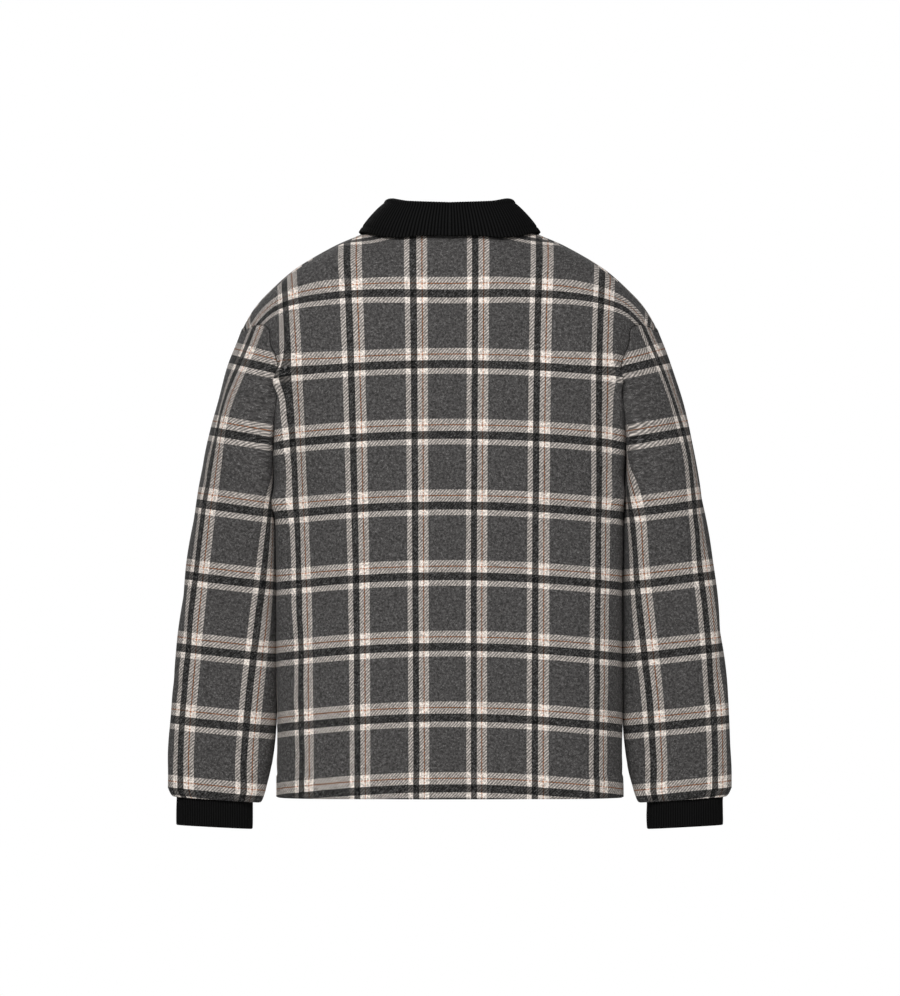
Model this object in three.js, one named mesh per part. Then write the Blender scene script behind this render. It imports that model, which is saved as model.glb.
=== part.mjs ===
// Flannel overshirt with rib-knit collar and cuffs, filled out as if worn and hollow inside.
// Units are millimetres. +Z is up, +Y is the wearer's back, +X is the wearer's left.
// The origin lies between the two side neck points, on the shoulder line.

import * as THREE from 'three';

// Cloth and seams
const flannelWall = 2;
const collarWall = 2.2;
const cuffWall = 2.4;
const seamGap = 0.3;

// Body sizes
const hemHeight = -700;
const armpitHeight = -300;
const sectionPower = 3;
const roundWidth = 215;
const roundDepth = 104;
const ridgeSetForward = -8;
const sideNeck = 88;
const shoulderPoint = 259;
const shoulderSeamDown = 23;
const shoulderSeamBow = 0.12;
const buttonLap = 17.5;
const lapShift = 1.25;
const lapFade = 60;

// Arch of the cloth over the shoulder, from the ridge to where it hangs straight
const backArch = { height: 140, depth: 114 };
const frontArch = { height: 170, depth: 86 };

// Half width of the body's level sections, widening to the shoulders above the armpit
const widthSections = [
  { z: -700, halfWidth: 214.5 },
  { z: -450, halfWidth: 214.5 },
  { z: -345, halfWidth: 215.2 },
  { z: -300, halfWidth: 217.5 },
  { z: -258, halfWidth: 226 },
  { z: -212, halfWidth: 242 },
  { z: -168, halfWidth: 255 },
  { z: -119, halfWidth: 260 },
  { z: -60, halfWidth: 262 },
  { z: 40, halfWidth: 262 },
];

// Depth of the back and of the front, from the middle plane
const depthSections = [
  { z: -700, back: 101, front: 104 },
  { z: -560, back: 101, front: 104 },
  { z: -430, back: 101, front: 105 },
  { z: -300, back: 104, front: 107 },
  { z: -180, back: 107, front: 104 },
  { z: -76, back: 104, front: 87 },
  { z: 40, back: 100, front: 80 },
];

// Highest line of the cloth over the shoulder; inside the neck it is only a guide
const shoulderRidge = [
  { x: 0, z: 37 },
  { x: 44, z: 32 },
  { x: 70, z: 22 },
  { x: 88, z: 12.5 },
  { x: 110, z: 2.8 },
  { x: 146, z: -13 },
  { x: 194, z: -41.6 },
  { x: 229, z: -73 },
  { x: 245, z: -92 },
  { x: 259, z: -117 },
  { x: 285, z: -176 },
];

// Neck seams from the side neck point; down is the way along the cloth from the ridge
const backNeck = [
  { share: 0, x: 88, down: 23 },
  { share: 0.2, x: 81, down: 40 },
  { share: 0.42, x: 66, down: 57 },
  { share: 0.68, x: 40, down: 74 },
  { share: 1, x: 0, down: 81 },
];
const frontNeck = [
  { share: 0, x: 88, down: -23 },
  { share: 0.13, x: 87.6, down: 18 },
  { share: 0.28, x: 84.5, down: 70 },
  { share: 0.45, x: 75, down: 112 },
  { share: 0.62, x: 58, down: 141 },
  { share: 0.8, x: 33, down: 159 },
  { share: 1, x: 0, down: 165 },
  { share: 1.1, x: -17.5, down: 165 },
];

// Where each neck seam ends; the front one goes on past the centre under the button lap
const neckEnds = { back: 1, front: 1.1 };

// Share of the way round at which the cloth below the side neck point hangs
const neckSpread = { back: 0.36, front: 0.42 };

// Armhole seams from the shoulder point down to the armpit
const backArmhole = [
  { along: 0.1, x: 243, y: 47, z: -126 },
  { along: 0.2, x: 227, y: 64, z: -140 },
  { along: 0.3, x: 217.5, y: 73, z: -154 },
  { along: 0.4, x: 213, y: 77, z: -172 },
  { along: 0.6, x: 216, y: 66, z: -213 },
  { along: 0.8, x: 218.5, y: 40, z: -259 },
];
const frontArmhole = [
  { along: 0.12, x: 238, y: -46, z: -130 },
  { along: 0.25, x: 221, y: -64, z: -150 },
  { along: 0.4, x: 212, y: -73, z: -182 },
  { along: 0.6, x: 212, y: -68, z: -224 },
  { along: 0.8, x: 215.5, y: -44, z: -265 },
];

// Soft troughs and ridges in the body cloth: a line from one end to the other, with its
// half width and its depth at the two ends; a positive depth pushes the cloth in
const bodyFolds = [
  { face: 'back', x0: 226, z0: -70, x1: 214, z1: -178, reach: 17, depth0: 2, depth1: 19 },
  { face: 'back', x0: -226, z0: -74, x1: -214, z1: -176, reach: 15, depth0: 1, depth1: 14 },
  { face: 'back', x0: 206, z0: -200, x1: 196, z1: -330, reach: 16, depth0: 9, depth1: 2 },
  { face: 'back', x0: -207, z0: -200, x1: -198, z1: -320, reach: 15, depth0: 7, depth1: 2 },
  { face: 'back', x0: 184, z0: -120, x1: 176, z1: -250, reach: 22, depth0: -1, depth1: -4 },
  { face: 'back', x0: -186, z0: -120, x1: -178, z1: -245, reach: 22, depth0: -1, depth1: -3 },
  { face: 'back', x0: 96, z0: -430, x1: 104, z1: -760, reach: 34, depth0: 0, depth1: 5 },
  { face: 'back', x0: -84, z0: -400, x1: -96, z1: -760, reach: 36, depth0: 0, depth1: 5 },
  { face: 'back', x0: 6, z0: -470, x1: 12, z1: -760, reach: 40, depth0: 0, depth1: -4 },
  { face: 'back', x0: 168, z0: -480, x1: 172, z1: -760, reach: 30, depth0: 0, depth1: -4 },
  { face: 'back', x0: -160, z0: -460, x1: -168, z1: -760, reach: 30, depth0: 0, depth1: -4 },
  { face: 'front', x0: 222, z0: -90, x1: 210, z1: -196, reach: 17, depth0: 2, depth1: 15 },
  { face: 'front', x0: -222, z0: -90, x1: -210, z1: -192, reach: 17, depth0: 2, depth1: 13 },
  { face: 'front', x0: 128, z0: -210, x1: 118, z1: -470, reach: 34, depth0: 1, depth1: 5 },
  { face: 'front', x0: -122, z0: -220, x1: -112, z1: -450, reach: 34, depth0: 1, depth1: 5 },
  { face: 'front', x0: 92, z0: -480, x1: 98, z1: -760, reach: 36, depth0: 0, depth1: 5 },
  { face: 'front', x0: -98, z0: -470, x1: -104, z1: -760, reach: 36, depth0: 0, depth1: 4 },
  { face: 'front', x0: 158, z0: -430, x1: 166, z1: -760, reach: 30, depth0: 0, depth1: -4 },
  { face: 'front', x0: -164, z0: -440, x1: -170, z1: -760, reach: 30, depth0: 0, depth1: -4 },
];

// Sleeve sections from the armhole to the wrist; the outer and inner ends of each section,
// its half depth from front to back and where its middle lies
const sleeveSections = [
  { along: 0, outerX: 259, outerZ: -117, innerX: 220.3, innerZ: -300, halfDepth: 76, middleY: -3 },
  { along: 0.11, outerX: 282, outerZ: -178, innerX: 219, innerZ: -344, halfDepth: 71, middleY: -3 },
  { along: 0.22, outerX: 298.5, outerZ: -240, innerX: 218.2, innerZ: -388, halfDepth: 63, middleY: -3 },
  { along: 0.38, outerX: 316.5, outerZ: -330, innerX: 217.9, innerZ: -452, halfDepth: 52, middleY: -4 },
  { along: 0.58, outerX: 333.5, outerZ: -449, innerX: 217.9, innerZ: -532, halfDepth: 43, middleY: -7 },
  { along: 0.8, outerX: 347, outerZ: -578, innerX: 218.4, innerZ: -618, halfDepth: 35, middleY: -12 },
  { along: 0.9, outerX: 350.8, outerZ: -637, innerX: 223, innerZ: -658, halfDepth: 31.5, middleY: -15 },
  { along: 1, outerX: 351.8, outerZ: -688, innerX: 231.5, innerZ: -693, halfDepth: 28.5, middleY: -18 },
];
const sleevePower = 2.4;
const armholeBlend = 0.27;
const armholeMiddle = { x: 240, y: 0, z: -210 };
const neckMiddle = { x: 0, y: -10, z: -30 };

// The sleeve's end turns in to the cuff; inset is how far it has come in from the last section
const sleeveTurn = [
  { inset: 3.4, outerDrop: 7.5, innerDrop: 9.5 },
  { inset: 6.6, outerDrop: 10.5, innerDrop: 13 },
];
const turnedInSteps = [
  { rise: 2.5 },
  { rise: 9 },
];

// Cuff tube
const cuff = {
  middleX: 294.2,
  middleY: -18.5,
  halfWidth: 46.6,
  halfDepth: 21.5,
  topOuter: -686,
  topInner: -690,
  bottomOuter: -735,
  bottomInner: -740,
  power: 2.6,
  ringShares: [0, 0.3, 0.65, 1],
};

// Collar stations from the centre back round to the centre front: the roll's middle, and
// where the leaf's edge lies over the cloth
const collarStations = [
  { round: 0, rollX: 0, rollY: 61, rollZ: 36.6, edgeX: 0, edgeDown: 101, lift: 7 },
  { round: 0.25, rollX: 50, rollY: 48, rollZ: 38.6, edgeX: 66, edgeDown: 85, lift: 6 },
  { round: 0.5, rollX: 76, rollY: 10, rollZ: 41.8, edgeX: 110, edgeDown: 14, lift: 3.4 },
  { round: 0.62, rollX: 72, rollY: -24, rollZ: 30, edgeX: 106, edgeDown: -48, lift: 3.6 },
  { round: 0.78, rollX: 56, rollY: -62, rollZ: -6, edgeX: 88, edgeDown: -116, lift: 4 },
  { round: 1, rollX: 6, rollY: -88, rollZ: -54, edgeX: 46, edgeDown: -196, lift: 4 },
];
const rollRadius = 4.5;
const leafBulge = 2.5;
const collarEndGap = 1.6;

// Buttons down the centre front
const buttonCount = 6;
const firstButton = -98;
const buttonSpacing = 100;
const buttonRadius = 8;
const buttonThick = 3;

// How steeply the pull to a panel's top edge fades below it, across and down the cloth, and
// how steeply the pull to its side edge fades towards the centre
const topPull = { share: 10, down: 3 };
const sidePull = 2;

// How finely each piece is divided
const rowsBelowArmpit = 11;
const rowsAboveArmpit = 11;
const neckColumns = { back: 7, front: 9 };
const frontNeckCrowding = 1.6;
const shoulderColumns = 8;
const sleeveRings = 13;

const lerp = (a, b, share) => a + (b - a) * share;

function smoothStep(share) {
  const s = Math.min(Math.max(share, 0), 1);
  return s * s * (3 - 2 * s);
}

// A smooth curve through one column of a table, as a function of another column
function curveThrough(rows, key, value) {
  const at = rows.map((row) => row[key]);
  const to = rows.map((row) => row[value]);
  const last = rows.length - 1;
  const slope = at.map((_, i) => {
    const before = Math.max(i - 1, 0);
    const after = Math.min(i + 1, last);
    return (to[after] - to[before]) / (at[after] - at[before]);
  });
  return (input) => {
    if (input <= at[0]) return to[0];
    if (input >= at[last]) return to[last];
    let i = 0;
    while (input > at[i + 1]) i += 1;
    const span = at[i + 1] - at[i];
    const s = (input - at[i]) / span;
    const rise = to[i + 1] - to[i];
    const bendStart = slope[i] * span - rise;
    const bendEnd = rise - slope[i + 1] * span;
    return to[i] + rise * s + s * (1 - s) * (bendStart * (1 - s) + bendEnd * s);
  };
}

const halfWidthAt = curveThrough(widthSections, 'z', 'halfWidth');
const backDepthAt = curveThrough(depthSections, 'z', 'back');
const frontDepthAt = curveThrough(depthSections, 'z', 'front');
const ridgeAt = curveThrough(shoulderRidge, 'x', 'z');

// A quarter of the level section, from the centre to the side, stepped by arc length
const roundSamples = (() => {
  const rows = [{ share: 0, across: 0, out: 1 }];
  const steps = 600;
  let length = 0;
  for (let i = 1; i <= steps; i += 1) {
    const angle = (i / steps) * Math.PI / 2;
    const across = Math.sin(angle) ** (2 / sectionPower);
    const out = i === steps ? 0 : Math.cos(angle) ** (2 / sectionPower);
    const before = rows[i - 1];
    const stepWidth = (across - before.across) * roundWidth;
    const stepDepth = (out - before.out) * roundDepth;
    length += Math.hypot(stepWidth, stepDepth);
    rows.push({ share: length, across, out });
  }
  rows.forEach((row) => { row.share /= length; });
  return rows;
})();

function sampleRound(key, input) {
  let low = 0;
  let high = roundSamples.length - 1;
  while (high - low > 1) {
    const middle = (low + high) >> 1;
    if (roundSamples[middle][key] <= input) low = middle;
    else high = middle;
  }
  const a = roundSamples[low];
  const b = roundSamples[high];
  const s = (input - a[key]) / (b[key] - a[key]);
  return {
    share: lerp(a.share, b.share, s),
    across: lerp(a.across, b.across, s),
    out: lerp(a.out, b.out, s),
  };
}

// Past the centre the section mirrors across, and past the side it goes on to the other face
function roundPoint(share) {
  const size = Math.abs(share);
  const point = sampleRound('share', size > 1 ? 2 - size : size);
  return { across: Math.sign(share) * point.across, out: size > 1 ? -point.out : point.out };
}

function roundShare(across) {
  return Math.sign(across) * sampleRound('across', Math.min(Math.abs(across), 1)).share;
}

const archRadius = (arch) => Math.sqrt((arch.height ** 2 + arch.depth ** 2) / 2);

function archDrop(arch, down) {
  const radius = archRadius(arch);
  const angle = down / radius;
  if (angle < Math.PI / 2) return arch.height * (1 - Math.cos(angle));
  return arch.height + down - radius * Math.PI / 2;
}

function archDown(arch, drop) {
  const radius = archRadius(arch);
  if (drop < arch.height) return radius * Math.acos(1 - drop / arch.height);
  return drop - arch.height + radius * Math.PI / 2;
}

// Passes that settle the height and the width of a body place on each other
const heightPasses = 8;

// How far the folds push the cloth in at a place on one face
function foldDepth(face, x, z) {
  let depth = 0;
  for (const fold of bodyFolds) {
    if (fold.face !== face) continue;
    const lengthX = fold.x1 - fold.x0;
    const lengthZ = fold.z1 - fold.z0;
    const length = Math.hypot(lengthX, lengthZ);
    const along = ((x - fold.x0) * lengthX + (z - fold.z0) * lengthZ) / length ** 2;
    const aside = ((x - fold.x0) * lengthZ - (z - fold.z0) * lengthX) / length;
    const beyond = Math.max(-along, along - 1, 0) * length;
    const distance = Math.hypot(aside, beyond * 0.5) / fold.reach;
    const share = Math.min(Math.max(along, 0), 1);
    depth += lerp(fold.depth0, fold.depth1, share) * Math.exp(-distance * distance);
  }
  return depth;
}

// A place on the body: face, side of the wearer, share of the way round from the centre to the
// side, and the way down along the cloth from the shoulder ridge
function bodyPoint(face, side, share, down) {
  const behindRidge = face === 'front' && down < 0;
  const onBack = face === 'back' || behindRidge;
  const arch = onBack ? backArch : frontArch;
  const depthAt = onBack ? backDepthAt : frontDepthAt;
  const { across, out } = roundPoint(share);
  const drop = archDrop(arch, Math.abs(down));
  const rise = Math.sin(Math.min(Math.abs(down) / archRadius(arch), Math.PI / 2));
  let x = across * roundWidth;
  let z = 0;
  for (let pass = 0; pass < heightPasses; pass += 1) {
    z = ridgeAt(Math.abs(x)) - drop;
    x = across * halfWidthAt(z);
  }
  const direction = onBack ? 1 : -1;
  const straight = depthAt(z) - direction * ridgeSetForward;
  const folded = straight - foldDepth(onBack ? 'back' : 'front', side * x, z);
  let y = ridgeSetForward + direction * rise * out * folded;
  if (face === 'front') y -= side * lapShift * (1 - smoothStep((Math.abs(x) - buttonLap) / lapFade));
  return new THREE.Vector3(side * x, y, z);
}

function downAtHeight(face, share, z) {
  const arch = face === 'back' ? backArch : frontArch;
  const x = Math.abs(roundPoint(share).across) * halfWidthAt(z);
  return archDown(arch, ridgeAt(x) - z);
}

function shareAtWidth(x, z) {
  return roundShare(x / halfWidthAt(z));
}

// Seam lines as share and down, the two places that bodyPoint takes
function neckSeam(face) {
  const table = face === 'back' ? backNeck : frontNeck;
  const xAt = curveThrough(table, 'share', 'x');
  const downAt = curveThrough(table, 'share', 'down');
  return (share) => {
    const x = xAt(share);
    return { share: shareAtWidth(x, ridgeAt(Math.abs(x))), down: downAt(share) };
  };
}

function shoulderSeam(face) {
  const sign = face === 'back' ? 1 : -1;
  return (share) => {
    const x = sideNeck + (shoulderPoint - sideNeck) * share * (1 + shoulderSeamBow * (1 - share));
    return { share: shareAtWidth(x, ridgeAt(x)), down: sign * shoulderSeamDown };
  };
}

function armholeSeam(face) {
  const arch = face === 'back' ? backArch : frontArch;
  const depthAt = face === 'back' ? backDepthAt : frontDepthAt;
  const direction = face === 'back' ? 1 : -1;
  const table = face === 'back' ? backArmhole : frontArmhole;
  const rows = table.map(({ along, x, y, z }) => {
    const down = archDown(arch, ridgeAt(x) - z);
    const rise = Math.sin(Math.min(down / archRadius(arch), Math.PI / 2));
    const straight = depthAt(z) - direction * ridgeSetForward;
    const out = Math.abs(y - ridgeSetForward) / (straight * rise);
    const ratio = out / (x / halfWidthAt(z));
    const across = (1 + ratio ** sectionPower) ** (-1 / sectionPower);
    return { along, share: roundShare(across), down };
  });
  const top = shoulderSeam(face)(1);
  rows.unshift({ along: 0, share: top.share, down: top.down });
  rows.push({ along: 1, share: 1, down: downAtHeight(face, 1, armpitHeight) });
  const shareAt = curveThrough(rows, 'along', 'share');
  const downAt = curveThrough(rows, 'along', 'down');
  return (along) => ({ share: shareAt(along), down: downAt(along) });
}

// Places along a neck seam from the side neck point; in front they crowd where it goes over
// the ridge
function neckShares(face) {
  const count = neckColumns[face];
  const crowding = face === 'back' ? 1 : frontNeckCrowding;
  return Array.from({ length: count + 1 }, (_, i) => (i / count) ** crowding);
}

// A body panel from the centre to the side, between its four edges
function makePanel(face) {
  const neck = neckSeam(face);
  const shoulder = shoulderSeam(face);
  const armhole = armholeSeam(face);
  const neckEnd = neckEnds[face];
  const centreTop = neck(neckEnd);
  const centreShare = centreTop.share;
  const hemDown = (share) => downAtHeight(face, share, hemHeight);
  const uNeck = (neckSpread[face] - centreShare) / (1 - centreShare);
  const centreLength = hemDown(centreShare) - centreTop.down;
  const vArmpit = (armpitHeight - hemHeight) / centreLength;

  const bottomEdge = (u) => {
    const share = lerp(centreShare, 1, u);
    return { share, down: hemDown(share) };
  };
  const topEdge = (u) => {
    if (u <= uNeck) return neck(neckEnd * (1 - u / uNeck));
    return shoulder((u - uNeck) / (1 - uNeck));
  };
  const sideEdge = (v) => {
    if (v > vArmpit) return armhole(1 - (v - vArmpit) / (1 - vArmpit));
    return { share: 1, down: downAtHeight(face, 1, lerp(hemHeight, armpitHeight, v / vArmpit)) };
  };

  // A plain grid from hem to shoulder, pulled to the top and side edges near them only
  const plain = (u, v) => {
    const { share, down } = bottomEdge(u);
    return { share, down: lerp(down, lerp(centreTop.down, topEdge(1).down, u), v) };
  };
  const blend = (u, v, key) => {
    const toTop = topEdge(u)[key] - plain(u, 1)[key];
    const toSide = sideEdge(v)[key] - plain(1, v)[key];
    const toCorner = topEdge(1)[key] - plain(1, 1)[key];
    const nearTop = v ** topPull[key];
    const nearSide = u ** sidePull;
    return plain(u, v)[key] + nearTop * toTop + nearSide * toSide - nearSide * nearTop * toCorner;
  };

  const shares = neckShares(face).reverse();
  if (neckEnd > 1) shares.unshift(neckEnd);
  return {
    face,
    columns: [
      ...shares.map((share) => uNeck * (1 - share / neckEnd)),
      ...Array.from({ length: shoulderColumns }, (_, i) => lerp(uNeck, 1, (i + 1) / shoulderColumns)),
    ],
    rows: [
      ...Array.from({ length: rowsBelowArmpit }, (_, j) => vArmpit * j / rowsBelowArmpit),
      ...Array.from({ length: rowsAboveArmpit + 1 }, (_, j) => lerp(vArmpit, 1, j / rowsAboveArmpit)),
    ],
    placeAt: (u, v) => ({ share: blend(u, v, 'share'), down: blend(u, v, 'down') }),
  };
}

const panels = { back: makePanel('back'), front: makePanel('front') };

// Outward normal of the body cloth at a place
function bodyNormal(face, side, place) {
  const step = 0.002;
  const span = 0.6;
  const a = bodyPoint(face, side, place.share - step, place.down);
  const b = bodyPoint(face, side, place.share + step, place.down);
  const c = bodyPoint(face, side, place.share, place.down - span);
  const d = bodyPoint(face, side, place.share, place.down + span);
  const normal = b.sub(a).cross(d.sub(c)).normalize();
  return normal.multiplyScalar(face === 'back' ? side : -side);
}

function towards(point, target, distance) {
  const step = target.clone().sub(point);
  return point.clone().addScaledVector(step, distance / step.length());
}

// Half of a panel as rows of points and normals, set in by half a seam gap at its own seams
function panelRows(panel, side) {
  const rows = panel.rows.map((v) => panel.columns.map((u) => {
    const place = panel.placeAt(u, v);
    return {
      point: bodyPoint(panel.face, side, place.share, place.down),
      normal: bodyNormal(panel.face, side, place),
    };
  }));
  const lastColumn = panel.columns.length - 1;
  const lastRow = panel.rows.length - 1;
  for (let j = 0; j <= rowsBelowArmpit; j += 1) {
    const edge = rows[j][lastColumn];
    edge.point = towards(edge.point, rows[j][lastColumn - 1].point, seamGap / 2);
  }
  for (let i = lastColumn - shoulderColumns; i <= lastColumn; i += 1) {
    const edge = rows[lastRow][i];
    edge.point = towards(edge.point, rows[lastRow - 1][i].point, seamGap / 2);
  }
  return rows;
}

// Closed solid of a wall round rows of points; a tube's rows close on themselves
function shellGeometry(rows, thickness, isTube = false) {
  const rowCount = rows.length;
  const columnCount = rows[0].length;
  const positions = [];
  for (const side of [0.5, -0.5]) {
    for (const row of rows) {
      for (const { point, normal } of row) {
        const moved = point.clone().addScaledVector(normal, thickness * side);
        positions.push(moved.x, moved.y, moved.z);
      }
    }
  }
  const inner = rowCount * columnCount;
  const at = (j, i, layer) => layer * inner + j * columnCount + (i % columnCount);
  const faces = [];
  const corner = (index) => new THREE.Vector3().fromArray(positions, index * 3);
  const quad = (a, b, c, d) => {
    const acrossFirst = corner(a).distanceTo(corner(c));
    const acrossSecond = corner(b).distanceTo(corner(d));
    if (acrossFirst <= acrossSecond) faces.push(a, b, c, a, c, d);
    else faces.push(b, c, d, b, d, a);
  };
  const columnEnd = isTube ? columnCount : columnCount - 1;
  for (let j = 0; j < rowCount - 1; j += 1) {
    for (let i = 0; i < columnEnd; i += 1) {
      quad(at(j, i, 0), at(j, i + 1, 0), at(j + 1, i + 1, 0), at(j + 1, i, 0));
      quad(at(j, i, 1), at(j + 1, i, 1), at(j + 1, i + 1, 1), at(j, i + 1, 1));
    }
  }
  for (let i = 0; i < columnEnd; i += 1) {
    quad(at(0, i + 1, 0), at(0, i, 0), at(0, i, 1), at(0, i + 1, 1));
    const j = rowCount - 1;
    quad(at(j, i, 0), at(j, i + 1, 0), at(j, i + 1, 1), at(j, i, 1));
  }
  if (!isTube) {
    for (let j = 0; j < rowCount - 1; j += 1) {
      quad(at(j, 0, 0), at(j + 1, 0, 0), at(j + 1, 0, 1), at(j, 0, 1));
      const i = columnCount - 1;
      quad(at(j + 1, i, 0), at(j, i, 0), at(j, i, 1), at(j + 1, i, 1));
    }
  }
  return facingOut(positions, faces);
}

function facingOut(positions, faces) {
  const corner = (index) => new THREE.Vector3().fromArray(positions, index * 3);
  let volume = 0;
  for (let k = 0; k < faces.length; k += 3) {
    const a = corner(faces[k]);
    volume += a.dot(corner(faces[k + 1]).cross(corner(faces[k + 2])));
  }
  if (volume < 0) faces.reverse();
  const geometry = new THREE.BufferGeometry();
  geometry.setAttribute('position', new THREE.Float32BufferAttribute(positions, 3));
  geometry.setIndex(faces);
  geometry.computeVertexNormals();
  return geometry;
}

function backPanelRows() {
  const left = panelRows(panels.back, 1);
  const right = panelRows(panels.back, -1);
  return left.map((row, j) => [...right[j].slice(1).reverse(), ...row]);
}

// Direction into the body cloth at a seam, square to the seam and away from the opening's middle
function intoBodyCloth(seam, seamAfter, normal, middle) {
  const direction = normal.clone().cross(seamAfter.clone().sub(seam)).normalize();
  return direction.dot(seam.clone().sub(middle)) < 0 ? direction.negate() : direction;
}

// How far along a seam or a sleeve its direction is looked up
const seamStep = { angle: 0.01, along: 0.02, round: 0.005 };

// The edge that is sewn on beside a body edge: it is moved on by the seam gap and, the more the
// cloth folds back there, out past the wall
function sewnOnOffset(intoBody, normal, intoPiece) {
  const turn = Math.acos(Math.min(Math.max(-intoBody.dot(intoPiece), -1), 1));
  const wallStep = flannelWall + seamGap;
  return intoPiece.clone().multiplyScalar(seamGap)
    .addScaledVector(normal, wallStep * Math.sin(turn / 2));
}

// Sleeve without its armhole: a flattened round between the outer and the inner line
const sleeveCurves = Object.fromEntries(
  ['outerX', 'outerZ', 'innerX', 'innerZ', 'halfDepth', 'middleY']
    .map((key) => [key, curveThrough(sleeveSections, 'along', key)]),
);

function ovalPart(value, power) {
  return Math.sign(value) * Math.abs(value) ** (2 / power);
}

function sleeveSectionPoint(side, angle, along) {
  const outerX = sleeveCurves.outerX(along);
  const outerZ = sleeveCurves.outerZ(along);
  const innerX = sleeveCurves.innerX(along);
  const innerZ = sleeveCurves.innerZ(along);
  const across = ovalPart(Math.cos(angle), sleevePower);
  const x = (outerX + innerX) / 2 + across * (outerX - innerX) / 2;
  const z = (outerZ + innerZ) / 2 + across * (outerZ - innerZ) / 2;
  const out = ovalPart(Math.sin(angle), sleevePower);
  const y = sleeveCurves.middleY(along) + out * sleeveCurves.halfDepth(along);
  return new THREE.Vector3(side * x, y, z);
}

const armholes = { back: armholeSeam('back'), front: armholeSeam('front') };

// The armhole edge goes from the shoulder point down the back and up the front
function armholePlace(angle) {
  const face = angle <= Math.PI ? 'back' : 'front';
  const along = angle <= Math.PI ? angle / Math.PI : 2 - angle / Math.PI;
  return { face, place: armholes[face](along) };
}

function armholeShift(side, angle) {
  const { face, place } = armholePlace(angle);
  const after = armholePlace(angle + seamStep.angle);
  const edge = bodyPoint(face, side, place.share, place.down);
  const edgeAfter = bodyPoint(after.face, side, after.place.share, after.place.down);
  const normal = bodyNormal(face, side, place);
  const start = sleeveSectionPoint(side, angle, 0);
  const next = sleeveSectionPoint(side, angle, seamStep.along);
  const middle = new THREE.Vector3(side * armholeMiddle.x, armholeMiddle.y, armholeMiddle.z);
  const intoBody = intoBodyCloth(edge, edgeAfter, normal, middle);
  const intoSleeve = next.sub(start).normalize();
  return edge.add(sewnOnOffset(intoBody, normal, intoSleeve)).sub(start);
}

function sleeveRows(side) {
  const count = 2 * rowsAboveArmpit;
  const angles = Array.from({ length: count }, (_, i) => (i / count) * 2 * Math.PI);
  const shifts = angles.map((angle) => armholeShift(side, angle));
  const surface = (i, along) => sleeveSectionPoint(side, angles[i], along)
    .addScaledVector(shifts[i], Math.max(1 - along / armholeBlend, 0) ** 2);
  const rings = [];
  for (let j = 0; j <= sleeveRings; j += 1) {
    const along = j / sleeveRings;
    rings.push(angles.map((_, i) => surface(i, along)));
  }
  const end = sleeveSections[sleeveSections.length - 1];
  for (const { inset, outerDrop, innerDrop } of sleeveTurn) {
    rings.push(ovalRing(side, angles, {
      outerX: end.outerX - inset,
      outerZ: end.outerZ - outerDrop,
      innerX: end.innerX + inset,
      innerZ: end.innerZ - innerDrop,
      halfDepth: end.halfDepth - inset / 2,
      middleY: end.middleY,
      power: sleevePower,
    }));
  }
  const lowest = sleeveTurn[sleeveTurn.length - 1];
  const clearance = (flannelWall + cuffWall) / 2 + seamGap;
  for (const { rise } of turnedInSteps) {
    rings.push(ovalRing(side, angles, {
      outerX: cuff.middleX + cuff.halfWidth + clearance,
      outerZ: end.outerZ - lowest.outerDrop + rise,
      innerX: cuff.middleX - cuff.halfWidth - clearance,
      innerZ: end.innerZ - lowest.innerDrop + rise,
      halfDepth: cuff.halfDepth + clearance,
      middleY: cuff.middleY,
      power: cuff.power,
    }));
  }
  return withNormals(rings, true);
}

function ovalRing(side, angles, oval) {
  return angles.map((angle) => {
    const across = ovalPart(Math.cos(angle), oval.power);
    return new THREE.Vector3(
      side * ((oval.outerX + oval.innerX) / 2 + across * (oval.outerX - oval.innerX) / 2),
      oval.middleY + ovalPart(Math.sin(angle), oval.power) * oval.halfDepth,
      (oval.outerZ + oval.innerZ) / 2 + across * (oval.outerZ - oval.innerZ) / 2,
    );
  });
}

// Normals from the neighbouring points of a grid
function withNormals(grid, isTube) {
  const rowCount = grid.length;
  const columnCount = grid[0].length;
  return grid.map((row, j) => row.map((point, i) => {
    const above = grid[Math.min(j + 1, rowCount - 1)][i];
    const below = grid[Math.max(j - 1, 0)][i];
    const after = isTube ? row[(i + 1) % columnCount] : row[Math.min(i + 1, columnCount - 1)];
    const before = isTube ? row[(i + columnCount - 1) % columnCount] : row[Math.max(i - 1, 0)];
    const along = above.clone().sub(below);
    const around = after.clone().sub(before);
    return { point, normal: along.cross(around).normalize() };
  }));
}

function cuffRows(side) {
  const count = 2 * rowsAboveArmpit;
  const angles = Array.from({ length: count }, (_, i) => (i / count) * 2 * Math.PI);
  const rings = cuff.ringShares.map((share) => ovalRing(side, angles, {
    outerX: cuff.middleX + cuff.halfWidth,
    outerZ: lerp(cuff.topOuter, cuff.bottomOuter, share),
    innerX: cuff.middleX - cuff.halfWidth,
    innerZ: lerp(cuff.topInner, cuff.bottomInner, share),
    halfDepth: cuff.halfDepth,
    middleY: cuff.middleY,
    power: cuff.power,
  }));
  return withNormals(rings, true);
}

const necks = { back: neckSeam('back'), front: neckSeam('front') };
const collarCurves = Object.fromEntries(
  ['rollX', 'rollY', 'rollZ', 'edgeX', 'edgeDown', 'lift']
    .map((key) => [key, curveThrough(collarStations, 'round', key)]),
);

// The neck edge goes from the centre back over the shoulder to the centre front
function neckPlace(round) {
  const face = round < 0.5 ? 'back' : 'front';
  return { face, place: necks[face](face === 'back' ? 1 - 2 * round : 2 * round - 1) };
}

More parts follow.
